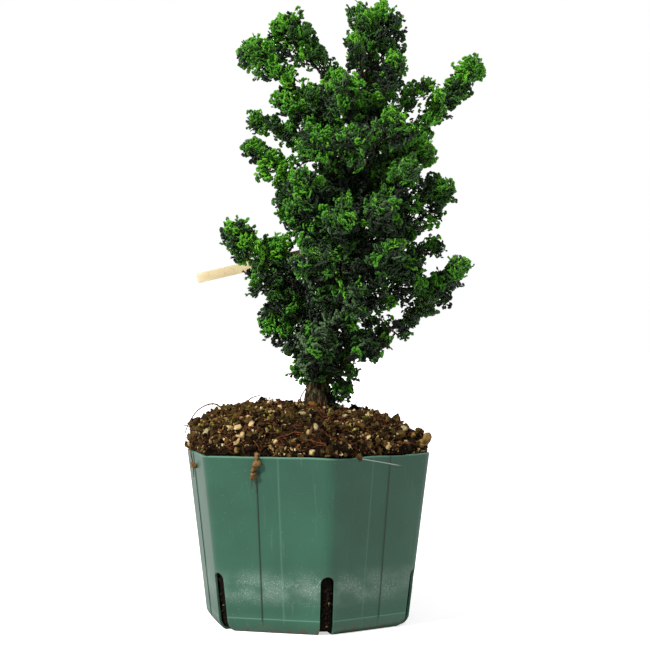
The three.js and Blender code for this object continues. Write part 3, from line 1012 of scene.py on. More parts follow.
class Green(Enum):
    """The plain greens that are dealt out to sprays, from this year's tips to the oldest. They are
    dealt partly by how open a spray is and how far it faces up, so the bright ones are also painted
    light and the dark ones painted shade.
    """

    FRESH_AND_LIT = "559716"
    BRIGHT = "3e7e10"
    SUMMER = "306110"
    DEEP = "254a12"
    BLOOM = "465f3a"  # grey-green, from the wax that shaded foliage keeps
    SHADE = "182f10"
    DIM = "192a15"
    OLD_AND_SHADED = "0d190a"


def blades(starts: Array, ends: Array, widths: Array, fullest: float = 0.68) -> Shape:
    """Many flat scale-clad fingers, each with a blunt point at both ends.

    Args:
        starts: Where they begin, as (fingers, 3).
        ends: Where they end.
        widths: Half the width of each.
        fullest: The share of its length at which a finger is widest.

    Returns:
        Corners and triangles.
    """
    along = ends - starts
    way = unit(along)
    side = unit(np.cross(way, [0.0, 0.0, 1.0]))
    across = np.cross(side, way) * 0.5  # half as thick as they are wide
    ring = np.stack([side, across, -side, -0.6 * across], axis=1) * widths[:, None, None]
    middles = (starts + along * fullest)[:, None] + ring
    points = np.concatenate([starts[:, None], middles, ends[:, None]], axis=1)
    faces = [(0, 1 + k, 1 + (k + 1) % 4) for k in range(4)]
    faces += [(5, 1 + (k + 1) % 4, 1 + k) for k in range(4)]
    triangles = np.array(faces) + (np.arange(len(starts)) * 6)[:, None, None]
    return points.reshape(-1, 3), triangles.reshape(-1, 3)


def lobe_shape(random: np.random.Generator, full: bool) -> Shape:
    """Grows one lobe of a spray: a branchlet that ends in a small fan of blunt fingers.

    Args:
        random: The seeded numbers.
        full: Whether it has all its fingers.

    Returns:
        Corners and triangles, along +Y, facing +Z and about 5 long.
    """
    stalk = random.uniform(2.6, 3.2)
    fingers = [(np.zeros(3), 0.0, stalk, 0.8, 0.0)]
    tilt = random.normal(0, 0.3)
    turns = (-1.1, -0.36, 0.36, 1.1) if full else (-0.55, 0.55)
    for turn in turns:
        root = np.array([0.0, stalk - random.uniform(0.3, 1.2), 0.0])
        width = random.uniform(1.2, 1.5) * (1.0 if full else 1.35)
        fingers.append((
            root, turn * random.uniform(0.85, 1.15), random.uniform(2.3, 3.1), width,
            tilt * turn + random.normal(0, 0.2),
        ))
    roots, leans, lengths, widths, lifts = (np.array(column) for column in zip(*fingers))
    ways = unit(np.stack([np.sin(leans), np.cos(leans), lifts], axis=1))
    return blades(roots, roots + ways * lengths[:, None], widths)


@dataclass
class Crown:
    """All the foliage: twigs up each stem, and on each twig a plume of flat sprays."""

    trunk: Trunk
    limbs: list[GrownLimb]
    seed: int = 59
    area_per_twig: float = 205.0  # mm2 of a mass's surface for each twig
    lean: float = 60.0  # degrees between the stem and the twigs at its side
    lift: float = 0.14
    apart: float = 0.02  # the share of a girth that is left between two masses
    least_reach: float = 5.0  # the shortest that is worth a twig
    full_reach: float = 13.0  # from which a twig carries full sprays
    missing: float = 0.07  # share of the twigs that have died back
    unevenness: float = 0.3  # by which neighbouring twigs differ in length
    forward: float = 0.3  # by which sprays lean on towards the end of their limb
    spray: float = 8.4  # length of a full spray
    shelter: float = 0.4  # how open a gap may be for twigs to grow on into it
    plume: float = 0.55  # share of a twig, from its end, that carries sprays
    sprays_out: int = 5
    sprays_in: int = 3
    sprays_spur: int = 2
    spur_gap: float = 3.6  # between the short spurs along a stem
    spur: float = 9.0  # how far a spur reaches from the middle of its stem
    shapes: int = 6
    # Places that the sky or the label shows through: x, z, radius and how far back, in y.
    windows: tuple = (
        (-9, 263.8, 3.8, 6), (-4, 265, 3.8, 6), (-43.5, 254.8, 4.2, 6), (-50, 253.2, 4.2, 6),
        (26.5, 404, 4.5, 90), (28, 396, 3.5, 90), (8.5, 391, 4, 90), (2, 396, 3, 90),
        (64.5, 219, 5, 90), (50.5, 207.5, 3, 90), (75, 230, 2.6, 90), (28.5, 184.5, 2.5, 90),
        (60.5, 246, 3.2, 90), (87.5, 249, 2.6, 90), (79, 275.5, 4, 90), (72.5, 357, 4, 90),
        (84, 374.5, 3.5, 90), (-9.5, 325.5, 3, 90),
    )
    random: np.random.Generator = field(init=False)

    def __post_init__(self) -> None:
        """Seeds the crown's own random numbers."""
        self.random = np.random.default_rng(self.seed)

    def depths(self, points: Array) -> Array:
        """How deep some points are in every mass.

        Args:
            points: The points.

        Returns:
            Shares of each mass's girth, as (points, limbs). 1 is its skin.
        """
        centres = np.stack([grown.centres for grown in self.limbs]).reshape(-1, 3)
        radii = np.stack([grown.radii for grown in self.limbs]).reshape(-1)
        rows = []
        for chunk in np.array_split(points, max(1, len(points) // 8000)):
            squares = (chunk**2).sum(1)[:, None] + (centres**2).sum(1) - 2 * chunk @ centres.T
            shares = np.sqrt(np.maximum(squares, 0)) / radii
            rows.append(shares.reshape(len(chunk), len(self.limbs), -1).min(axis=2))
        return np.vstack(rows)

    def belongs(self, points: Array, owners: Array, reach: float, apart: float) -> Array:
        """Whether points lie in their own mass's space, nearer to it than to any other.

        Args:
            points: The points.
            owners: The number of each one's limb.
            reach: How deep counts as inside, where 1 is the skin.
            apart: By how much it has to be deeper in its own mass.

        Returns:
            A truth value for each.
        """
        depths = self.depths(points)
        rows = np.arange(len(points))
        own = depths[rows, owners].copy()
        depths[rows, owners] = np.inf
        return (own < reach) & (depths.min(axis=1) > own + apart)

    def reaches(self, roots: Array, ways: Array, owners: Array) -> Array:
        """How far each mass's own space goes from points on its stem.

        Where a gap between two masses is closed on its far side, twigs grow on into it.

        Args:
            roots: The points on the stems.
            ways: The directions.
            owners: The number of each one's limb.

        Returns:
            The distances.
        """
        steps = np.arange(2.0, 60.0)
        points = (roots[:, None] + ways[:, None] * steps[None, :, None]).reshape(-1, 3)
        found = []
        for bound in (1.03, 1.6):  # the mass's own skin, and the far side of a gap
            inside = self.belongs(points, np.repeat(owners, len(steps)), bound, self.apart)
            inside = inside.reshape(len(roots), -1)
            first_out = steps[np.argmin(inside, axis=1)] - 1
            found.append(np.where(inside.all(axis=1), steps[-1], first_out))
        near, far = found
        shut = self.depths(roots + ways * (far + 5)[:, None]).min(axis=1) < 1.0
        shut &= self.openness(roots + ways * ((near + far) / 2)[:, None], 12) < self.shelter
        return np.where(shut, far, near)

    def in_window(self, points: Array, share: float = 1.0) -> Array:
        """Whether points stand in the way of one of the windows through the crown.

        Args:
            points: The points.
            share: The share of a window's radius that counts.

        Returns:
            A truth value for each.
        """
        blocked = np.zeros(len(points), bool)
        for x, z, radius, back in self.windows:
            aside = np.hypot(points[:, 0] - x, points[:, 2] - z)
            blocked |= (aside < radius * share) & (points[:, 1] < back)
        return blocked

    def openness(self, points: Array, distance: float) -> Array:
        """The share of the ways out of some points that soon lead into open air.

        Args:
            points: The points.
            distance: How soon.

        Returns:
            The shares, from 0 to 1.
        """
        count = 14
        turns, heights = np.arange(count) * GOLDEN_ANGLE, 1 - (np.arange(count) + 0.5) / count * 1.5
        flat = np.sqrt(np.maximum(0, 1 - heights**2))
        ways = np.stack([flat * np.cos(turns), flat * np.sin(turns), heights], axis=1)
        seen = (points[:, None] + ways * distance).reshape(-1, 3)
        return (self.depths(seen).min(axis=1) > 1.0).reshape(len(points), -1).mean(axis=1)

    def spiral(self, line: Path, shares: Array, leans: Array) -> Pair:
        """Lays out twigs that spiral up a line.

        Args:
            line: The stem that carries them.
            shares: The share of its length at which each leaves it.
            leans: The angle in radians between each and the stem.

        Returns:
            Roots and ways.
        """
        count = len(shares)
        turn = (GOLDEN_ANGLE * np.arange(count) + self.random.uniform(-0.3, 0.3, count))[:, None]
        along = line.along(shares)
        side = unit(np.cross([0.03, 0.0, 1.0], along))
        around = side * np.cos(turn) + np.cross(along, side) * np.sin(turn)
        lean = leans[:, None]
        ways = along * np.cos(lean) + around * np.sin(lean) + np.array([0.0, 0.0, self.lift])
        return line.at(shares), unit(ways)

    def twigs(self) -> dict[str, Array]:
        """Lays out the twigs: they spiral up each stem, then spread over its rounded end.

        Short spurs clothe the stems, the boughs and the trunk between them.

        Returns:
            Roots, ways, owners, spurs and reaches.
        """
        sets = []
        for index, grown in enumerate(self.limbs):
            stem, girth = grown.stem, grown.limb.girth
            flank = stem.length * 0.8
            at_side = flank / (flank + girth)
            count = round(tau * girth * (flank + girth) / self.area_per_twig)
            place = (np.arange(count) + 0.5) / count
            spread = np.maximum(place - at_side, 0) / (1 - at_side)
            rest = cos(radians(self.lean))
            leans = np.arccos(rest + (1 - rest) * spread)
            shares = np.minimum(place / at_side, 1) ** 0.8
            roots, ways = self.spiral(stem, shares, leans)
            sets.append((roots, ways, np.full(count, index), np.zeros(count, bool)))
            for line, gap in ((stem, self.spur_gap), (grown.bough, self.spur_gap * 1.5)):
                if line is None:
                    continue
                count = round(line.length / gap)
                shares = (np.arange(count) + 0.5) / count
                roots, ways = self.spiral(line, shares, np.full(count, 0.8))
                sets.append((roots, ways, np.full(count, index), np.ones(count, bool)))
        shares = np.linspace(0.04, 0.98, round(self.trunk.path.length / 1.6))
        roots, ways = self.spiral(self.trunk.path, shares, np.full(len(shares), 0.95))
        nearest = np.argmin(self.depths(roots + ways * 14), axis=1)
        sets.append((roots, ways, nearest, np.ones(len(shares), bool)))
        names = ("roots", "ways", "owners", "spurs")
        made = {name: np.concatenate([part[k] for part in sets]) for k, name in enumerate(names)}
        made["reaches"] = self.reaches(made["roots"], made["ways"], made["owners"])
        on_trunk = np.arange(len(made["roots"])) >= len(made["roots"]) - len(shares)
        short = self.spur + on_trunk * self.random.uniform(3, 9, len(on_trunk))
        made["reaches"] = np.where(made["spurs"], short, made["reaches"])
        return made

    def build(self) -> None:
        """Grows the crown and adds its pieces."""
        random, twigs = self.random, self.twigs()
        keep = twigs["spurs"] | (twigs["reaches"] > self.least_reach)
        keep &= random.uniform(size=len(keep)) > self.missing
        roots, ways, owners, spurs, reaches = (
            twigs[name][keep] for name in ("roots", "ways", "owners", "spurs", "reaches")
        )
        outer = (self.depths(roots + ways * (reaches + 7)[:, None]).min(axis=1) > 1.0) & ~spurs
        swell = np.array([noise(Vector(p) / 14) for p in roots + ways * reaches[:, None]])
        stretch = 1 + self.unevenness * swell + random.uniform(-0.32, 0.1, len(roots))
        size = self.spray * np.clip(reaches / self.full_reach, 0.7, 1)
        length = np.maximum(reaches * np.clip(stretch, 0.5, 1.14) - size * 1.12, 1.5)

        shares = np.linspace(0, 1, 5)[:, None]
        sag = random.normal(0, 1.0, (len(roots), 1, 3)) * np.sin(shares * pi)
        lines = roots[:, None] + ways[:, None] * length[:, None, None] * shares + sag
        most = self.sprays_out
        number = np.arange(most)
        wanted = np.where(spurs, self.sprays_spur, np.where(outer, most, self.sprays_in))[:, None]
        blocked = self.in_window(lines.reshape(-1, 3), 0.75).reshape(len(roots), -1).any(axis=1)
        used = (number < wanted) & ~blocked[:, None]
        which = np.broadcast_to(np.arange(len(roots))[:, None], used.shape)[used]
        station = (1 - self.plume * number / wanted)[used]
        lean = np.where(number == 0, 0.15, 0.5 + 0.5 * number / wanted)[used]
        turns = (number * GOLDEN_ANGLE + random.uniform(0, tau, len(roots))[:, None])[used]
        base = frames_towards(ways, np.zeros(len(roots)))[which]
        flat = np.sin(lean)
        local = np.stack([flat * np.cos(turns), np.cos(lean), flat * np.sin(turns)], axis=1)
        limb_ways = np.array([grown.stem.along(0.8) for grown in self.limbs])[owners[which]]
        spray_ways = np.einsum("mi,mij->mj", local, base) + random.normal(0, 0.13, local.shape)
        spray_ways = unit(spray_ways + self.forward * limb_ways + np.array([0, 0, 0.12]))
        spot = station * 4
        low = np.minimum(spot.astype(int), 3)
        part = (spot - low)[:, None]
        forks = lines[which, low] * (1 - part) + lines[which, low + 1] * part
        stalk = np.where(station == 1, 0.0, random.uniform(0.3, 2.0, len(which)))
        starts = forks + spray_ways * stalk[:, None]
        long = size[which] * random.uniform(0.72, 1.2, len(which))
        tips = starts + spray_ways * long[:, None]
        fits = self.belongs(tips, owners[which], 1.17, -0.14) | spurs[which]
        fits &= ~self.in_window(tips) & ~self.in_window((starts + tips) / 2)
        which, spray_ways, forks, starts, long, tips, station = (
            a[fits] for a in (which, spray_ways, forks, starts, long, tips, station)
        )
        # A spray's flat face looks outwards and up, so that the sprays lap like shingles.
        face = ways[which] + np.array([0, 0, 0.5]) + random.normal(0, 0.45, spray_ways.shape)
        face = unit(face - spray_ways * (face * spray_ways).sum(1)[:, None])
        frames = np.stack([np.cross(spray_ways, face), spray_ways, face], axis=1)
        greens = self.deal(tips, spray_ways, which, station)
        self.add_wood(lines[~blocked], forks, starts)
        sizes = long / SPRAY_MODEL
        self.add_sprays(starts, frames, sizes, greens, owners[which], outer[which])

    def deal(self, tips: Array, ways: Array, which: Array, station: Array) -> Array:
        """Deals a green to each spray: bright where it is young, and also as painted light where it
        is open and faces up; dark as painted shade where it is enclosed.

        A limb's share of bright growth, which on some limbs also holds painted light, fades over
        into that of its neighbours.

        Args:
            tips: The sprays' ends.
            ways: Their directions.
            which: The twig of each.
            station: How far out along its twig it sits.

        Returns:
            The number of each spray's green.
        """
        random = self.random
        middles = np.array([grown.centres[6:].mean(axis=0) for grown in self.limbs])
        near = np.exp(-(((tips[:, None] - middles) / 17) ** 2).sum(axis=2)) + 1e-12
        vigour_and_light = near @ np.array([grown.limb.vigour_and_light for grown in self.limbs]) / near.sum(axis=1)
        by_twig = random.normal(0, 0.28, which.max() + 1)[which]
        patch = np.array([noise(Vector(tip) / 22) for tip in tips])
        light = 0.6 * self.openness(tips, 13) + 0.3 * self.openness(tips, 30)
        # How young and how lit a spray looks: its openness and how far it faces up paint light and
        # shade on it, and its limb, its twig and its place give its age.
        young = light + 0.2 * ways[:, 2] + 0.6 * (vigour_and_light - 0.5) + by_twig + 0.35 * patch
        young += 0.8 * (station - 0.7) + random.normal(0, 0.31, len(young))
        order = list(Green)
        shares = {
            Green.OLD_AND_SHADED: 0.13, Green.DIM: 0.13, Green.SHADE: 0.15, Green.DEEP: 0.16,
            Green.SUMMER: 0.18, Green.BRIGHT: 0.16, Green.FRESH_AND_LIT: 0.09,
        }
        marks = np.quantile(young, np.cumsum(list(shares.values()))[:-1])
        ranks = np.searchsorted(marks, young)
        dealt = np.array([order.index(green) for green in shares])[ranks]
        waxy = (ranks >= 1) & (ranks <= 4) & (random.uniform(size=len(ranks)) < 0.48 - 0.8 * vigour_and_light)
        dealt[waxy] = order.index(Green.BLOOM)
        return dealt

    def add_wood(self, lines: Array, forks: Array, starts: Array) -> None:
        """Adds the twigs and the stalks of the sprays.

        Args:
            lines: The twigs' middle lines, as (twigs, 5, 3).
            forks: Where each stalk leaves its twig.
            starts: Where its spray begins.
        """
        radii = np.broadcast_to(np.linspace(0.8, 0.45, 5), lines.shape[:2])
        apart = np.linalg.norm(starts - forks, axis=1) > 0.2
        ends = np.stack([forks, starts + (starts - forks) * 0.2], axis=1)[apart]
        stalks = tubes(ends, np.broadcast_to([0.5, 0.42], ends.shape[:2]), 3)
        points, triangles = joined([tubes(lines, radii, 3), stalks])
        mesh = mesh_of_triangles("twigs", points, triangles)
        add_piece(mesh, GreenBark().make(), [g.mass_node for g in self.limbs])

    @staticmethod
    def lobes(
        random: np.random.Generator, starts: Array, frames: Array, sizes: Array, outer: Array
    ) -> dict[str, Array]:
        """Lays out the sprays' lobes: to two sides in turn up an axis, and one at its end.

        Args:
            random: The seeded numbers.
            starts: Where each spray begins.
            frames: Its axes as rows: sideways, along and the way it faces.
            sizes: Its scale.
            outer: Whether it is at the crown's face, with two lobes more.

        Returns:
            Each lobe's spray, place, frame and scale, and the tips of the sprays' axes.
        """
        most = 5
        number = np.arange(most)
        wanted = np.where(outer, most, most - 2)[:, None]
        used = number < wanted
        which = np.broadcast_to(np.arange(len(starts))[:, None], used.shape)[used]
        at_end = (number == wanted - 1)[used]
        count = len(which)
        share = np.where(at_end, 1.0, (0.1 + 0.62 * number / (wanted - 2))[used])
        side = np.where(number % 2, 1.0, -1.0)[np.nonzero(used)[1]]
        lean = np.radians(random.uniform(46, 62, count) - 12 * share) * side
        lean = np.where(at_end, random.normal(0, 0.15, count), lean)
        rise = random.normal(-0.05, 0.3, count)
        length = random.uniform(6.4, 7.6, len(starts))
        bend = random.normal(0, 0.05, len(starts))
        axis = np.stack([np.sin(bend) * length, np.cos(bend) * length, 0 * bend], axis=1)
        local = axis[which] * share[:, None]
        ways = unit(np.stack([np.sin(lean), np.cos(lean), rise], axis=1))
        scale = sizes[which]
        places = starts[which] + np.einsum("mi,mij->mj", local, frames[which]) * scale[:, None]
        along = np.einsum("mi,mij->mj", ways, frames[which])
        face = frames[which, 2] + random.normal(0, 0.22, (count, 3)) - 0.3 * rise[:, None] * along
        face = unit(face - along * (face * along).sum(1)[:, None])
        reach = np.where(at_end, 1.0, 1.36 - 0.46 * share) * random.uniform(0.85, 1.2, count)
        return {
            "which": which,
            "places": places,
            "frames": np.stack([np.cross(along, face), along, face], axis=1),
            "sizes": scale * reach,
            "tips": starts + np.einsum("mi,mij->mj", axis, frames) * sizes[:, None],
        }

    def add_sprays(
        self, starts: Array, frames: Array, sizes: Array, greens: Array, owners: Array, outer: Array
    ) -> None:
        """Adds the sprays as joined pieces, one green in each and under 200,000 triangles.

        Args:
            starts: Where each spray begins.
            frames: Its axes as rows.
            sizes: Its scale.
            greens: The number of its green.
            owners: The number of its limb.
            outer: Whether it is at the crown's face.
        """
        random = np.random.default_rng(self.seed + 1)
        full = [lobe_shape(random, True) for _ in range(self.shapes)]
        plain = [lobe_shape(random, False) for _ in range(self.shapes)]
        lobes = self.lobes(random, starts, frames, sizes, outer)
        which = lobes["which"]
        kinds = random.integers(0, self.shapes, len(which))
        for number, green in enumerate(Green):
            here = greens == number
            parts = [blades(starts[here], lobes["tips"][here], 0.75 * sizes[here], 0.3)]
            for kind in range(self.shapes):
                for shapes, side in ((full, outer), (plain, ~outer)):
                    chosen = np.flatnonzero((here & side)[which] & (kinds == kind))
                    laid = (lobes[name][chosen] for name in ("places", "frames", "sizes"))
                    parts.append(scattered(shapes[kind], *laid))
            tint = green.name.lower()
            finish = ScaleFoliage(f"{tint} scale foliage", colour=green.value)
            nodes = sorted({self.limbs[owner].mass_node for owner in owners[here]})
            mesh = mesh_of_triangles(f"sprays_{tint}_1", *joined(parts))
            add_piece(mesh, finish.make(), nodes)


# ---------- pot


@dataclass
class SlitPot:
    """The hexagonal pot: rounded corners with a slit in each, and a sunk panel up each side."""

    height: float = 123.0
    rim_radius: float = 93.4
    base_radius: float = 77.5
    corner_radius: float = 11.0
    wall: float = 1.7
    turn: float = 11.0  # degrees by which it is turned from the front
    # Heights, and how far the wall is set in there.
    foot: tuple = ((0.0, 5.5), (0.5, 4.2), (1.5, 2.6), (3.4, 1.1), (6.0, 0.0))
    panel_width: float = 14.5
    panel_depth: float = 0.6
    panel_step: float = 0.5
    slit_width: float = 9.4  # as it looks from outside; the solids have 8
    slit_height: float = 41.0
    slit_start: float = 0.68  # how near the middle it begins, as a share of the base
    mould_line: float = 10.0
    rim_wave: float = 1.5
    bulge: float = 0.5
    eased: float = 0.35  # width of the eased edges
    corner_points: int = 9
    heights: tuple = (
        0, 0.5, 1.5, 3.4, 6, 9.5, 10, 10.5, 16, 23, 30, 37, 44, 52, 60, 68, 76, 84, 92, 100,
        108, 114, 118.5, 121.5, 123,
    )

    def radius_at(self, z: float) -> float:
        """The radius of the sharp hexagon at a height."""
        return self.base_radius + (self.rim_radius - self.base_radius) * z / self.height

    def columns(self) -> list[tuple[int, str, float]]:
        """The corners of one row of the wall, counter-clockwise from the front corner.

        Returns:
            Each one's side, "corner" or "flat", and the bend in degrees or the place along
            the flat as -2 to 2, where 1 is the edge of the panel.
        """
        bends = np.linspace(-30, 30, self.corner_points)
        half = (0.4, 0.84, 0.93, 1.0, 1.015, 1.06, 1.33, 1.66)
        flats = (*(-value for value in reversed(half)), 0.0, *half)
        return [
            (side, kind, value)
            for side in range(6)
            for kind, values in (("corner", bends), ("flat", flats))
            for value in values
        ]

    def outline(self, radius: float, column: tuple[int, str, float], sunk: bool = True) -> Array:
        """The point of the wall's outline in one column.

        Args:
            radius: The radius of the sharp hexagon.
            column: The column, as `columns` gives it.
            sunk: Whether the panels are sunk there.

        Returns:
            Its x and y.
        """
        side, kind, value = column
        towards = radians(-90 + self.turn + 60 * side)
        out = radius - self.corner_radius / cos(radians(30))
        if kind == "corner":
            return polar(out, towards) + polar(self.corner_radius, towards + radians(value))
        wide = self.panel_width / 2 + self.panel_step
        share = abs(value)
        along = share * wide if share <= 1 else wide + (share - 1) * (out / 2 - wide)
        along = copysign(along, value)
        depth = self.panel_depth if sunk and share < 0.95 else 0.0
        flat = radius * cos(radians(30)) - depth
        flat += self.bulge * cos(pi / 2 * min(1.0, abs(along) / (out / 2)))
        normal = towards + radians(30)
        return np.array([
            flat * cos(normal) - along * sin(normal),
            flat * sin(normal) + along * cos(normal),
        ])

    def wall_mesh(self) -> Mesh:
        """The outer skin: an open cylinder cut into rows and moved into shape.

        Returns:
            The mesh.
        """
        columns = self.columns()
        sides, rows = len(columns), len(self.heights)
        bm = bmesh.new()
        bmesh.ops.create_cone(bm, cap_ends=False, segments=sides, radius1=1, radius2=1, depth=2)
        uprights = [e for e in bm.edges if abs(e.verts[0].co.z - e.verts[1].co.z) > 1]
        bmesh.ops.subdivide_edges(bm, edges=uprights, cuts=rows - 2, use_grid_fill=True)
        insets = dict(self.foot)
        bottom = []
        for vertex in bm.verts:
            column = round((atan2(vertex.co.y, vertex.co.x) / tau) % 1.0 * sides) % sides
            row = round((vertex.co.z + 1) / 2 * (rows - 1))
            z = float(self.heights[row])
            inset = insets.get(z, 0.0)
            ridge = 0.16 if z == self.mould_line else 0.0
            x, y = self.outline(self.radius_at(z) - inset + ridge, columns[column], z > 5)
            wave = noise(Vector((x * 0.03, y * 0.03, 3.1))) * self.rim_wave
            near_rim = max(0.0, (z - 60) / (self.height - 60)) ** 2
            out = 1 + noise(Vector((x * 0.03, y * 0.03, z * 0.02))) * 0.006 * near_rim
            vertex.co = Vector((x * out, y * out, z + wave * near_rim - 0.4 * near_rim))
            if row == 0:
                bottom.append(vertex)
        edges = [e for e in bm.edges if e.is_boundary and all(v in bottom for v in e.verts)]
        made = bmesh.ops.edgeloop_fill(bm, edges=edges)
        bmesh.ops.poke(bm, faces=made["faces"])
        bmesh.ops.recalc_face_normals(bm, faces=bm.faces)
        return mesh_of(bm, "moulded_pot")

    def slit_cutters(self) -> Object:
        """The six round-topped slots that the slits are cut with.

        Returns:
            One object for all six.
        """
        bm = bmesh.new()
        half = self.slit_width / 2
        start = self.base_radius * self.slit_start
        for corner in range(6):
            made = bmesh.ops.create_circle(bm, cap_ends=True, segments=28, radius=half)
            ring = made["verts"]
            bmesh.ops.rotate(bm, verts=ring, matrix=Matrix.Rotation(pi / 2, 3, "X"))
            for vertex in ring:
                low = vertex.co.z < -0.01
                vertex.co.z = -3.0 if low else vertex.co.z + self.slit_height - half
                vertex.co.y = -start
            face = ring[0].link_faces[0]
            grown = bmesh.ops.extrude_face_region(bm, geom=[face])["geom"]
            moved = [piece for piece in grown if isinstance(piece, bmesh.types.BMVert)]
            bmesh.ops.translate(bm, verts=moved, vec=(0, start - self.rim_radius, 0))
            bmesh.ops.rotate(
                bm, verts=[*ring, *moved],
                matrix=Matrix.Rotation(radians(self.turn + 60 * corner), 3, "Z"),
            )
        bmesh.ops.recalc_face_normals(bm, faces=bm.faces)
        return new_object("slit_cutters", mesh_of(bm, "slit_cutters"))

    def mark(self, mesh: Mesh) -> None:
        """Writes where the pot is painted lighter and darker as attributes of its mesh.

        Args:
            mesh: The finished pot, in metres.
        """
        points = np.empty(len(mesh.vertices) * 3, np.float32)
        mesh.vertices.foreach_get("co", points)
        x, y, z = (points.reshape(-1, 3) / MM).astype(float).T
        angle = np.degrees(np.arctan2(y, x)) - (-90 + self.turn)
        side = np.floor((angle % 360) / 60).astype(int)
        normal = np.radians(-90 + self.turn + 60 * side + 30)
        along = -x * np.sin(normal) + y * np.cos(normal)
        wide = self.panel_width / 2 + self.panel_step
        dark_edge = np.where(side < 3, wide, -wide)
        # A dark line along the far edge of each sunk panel, where its step is: painted shade.
        panel_shade = np.exp(-(((along - dark_edge) / 0.5) ** 2)) * (z > 7)
        # Lighter along the near edge of each panel, the mould line, the rim and the slits' lips:
        # partly scuffs and partly painted highlight.
        rubbed = np.exp(-(((along + dark_edge) / 0.8) ** 2)) * 0.4 * (z > 7)
        mould = np.exp(-(((z - self.mould_line) / 0.4) ** 2)) * 0.75
        rim = np.clip((z - self.height + 1.6) / 1.0, 0, 1)
        lip = np.abs(self.slit_width / 2 - np.abs(self.across_corner(x, y, side, along)))
        slit = np.clip(1 - lip / 0.6, 0, 1) * (z < self.slit_height) * 0.35
        marks = {"wear_and_highlight": np.maximum.reduce([rubbed, rim, slit, mould]), "panel_shade": panel_shade}
        for name, values in marks.items():
            layer = mesh.attributes.new(name, "FLOAT", "POINT")
            layer.data.foreach_set("value", values.astype(np.float32))

    def across_corner(self, x: Array, y: Array, side: Array, along: Array) -> Array:
        """How far points are from the middle plane of the corner at their end of a side."""
        towards = np.radians(-90 + self.turn + 60 * (side + (along > 0)))
        return -x * np.sin(towards) + y * np.cos(towards)

    def build(self) -> None:
        """Builds the pot with its slits cut and its edges eased."""
        skin, cutter = self.wall_mesh(), self.slit_cutters()
        carrier = new_object("carrier", skin)
        for kind, settings in (
            ("SOLIDIFY", {"thickness": self.wall * MM, "offset": -1.0, "use_even_offset": True}),
            ("BOOLEAN", {"object": cutter, "operation": "DIFFERENCE", "solver": "EXACT"}),
            ("BEVEL", {
                "width": self.eased * MM, "segments": 2, "limit_method": "ANGLE",
                "angle_limit": radians(50), "use_clamp_overlap": True,
            }),
        ):
            modifier = carrier.modifiers.new(kind.lower(), kind)
            for key, value in settings.items():
                setattr(modifier, key, value)
        cut = carrier.evaluated_get(bpy.context.evaluated_depsgraph_get())
        mesh = bpy.data.meshes.new_from_object(cut)
        for used in (carrier, cutter):
            bpy.data.objects.remove(used)
        bpy.data.meshes.remove(skin)
        mesh.name = "moulded_pot"
        mesh.shade_smooth()
        mesh.set_sharp_from_angle(angle=radians(32))
        self.mark(mesh)
        add_piece(mesh, MouldedPolypropylene().make(), ["pot"])


# ---------- root ball


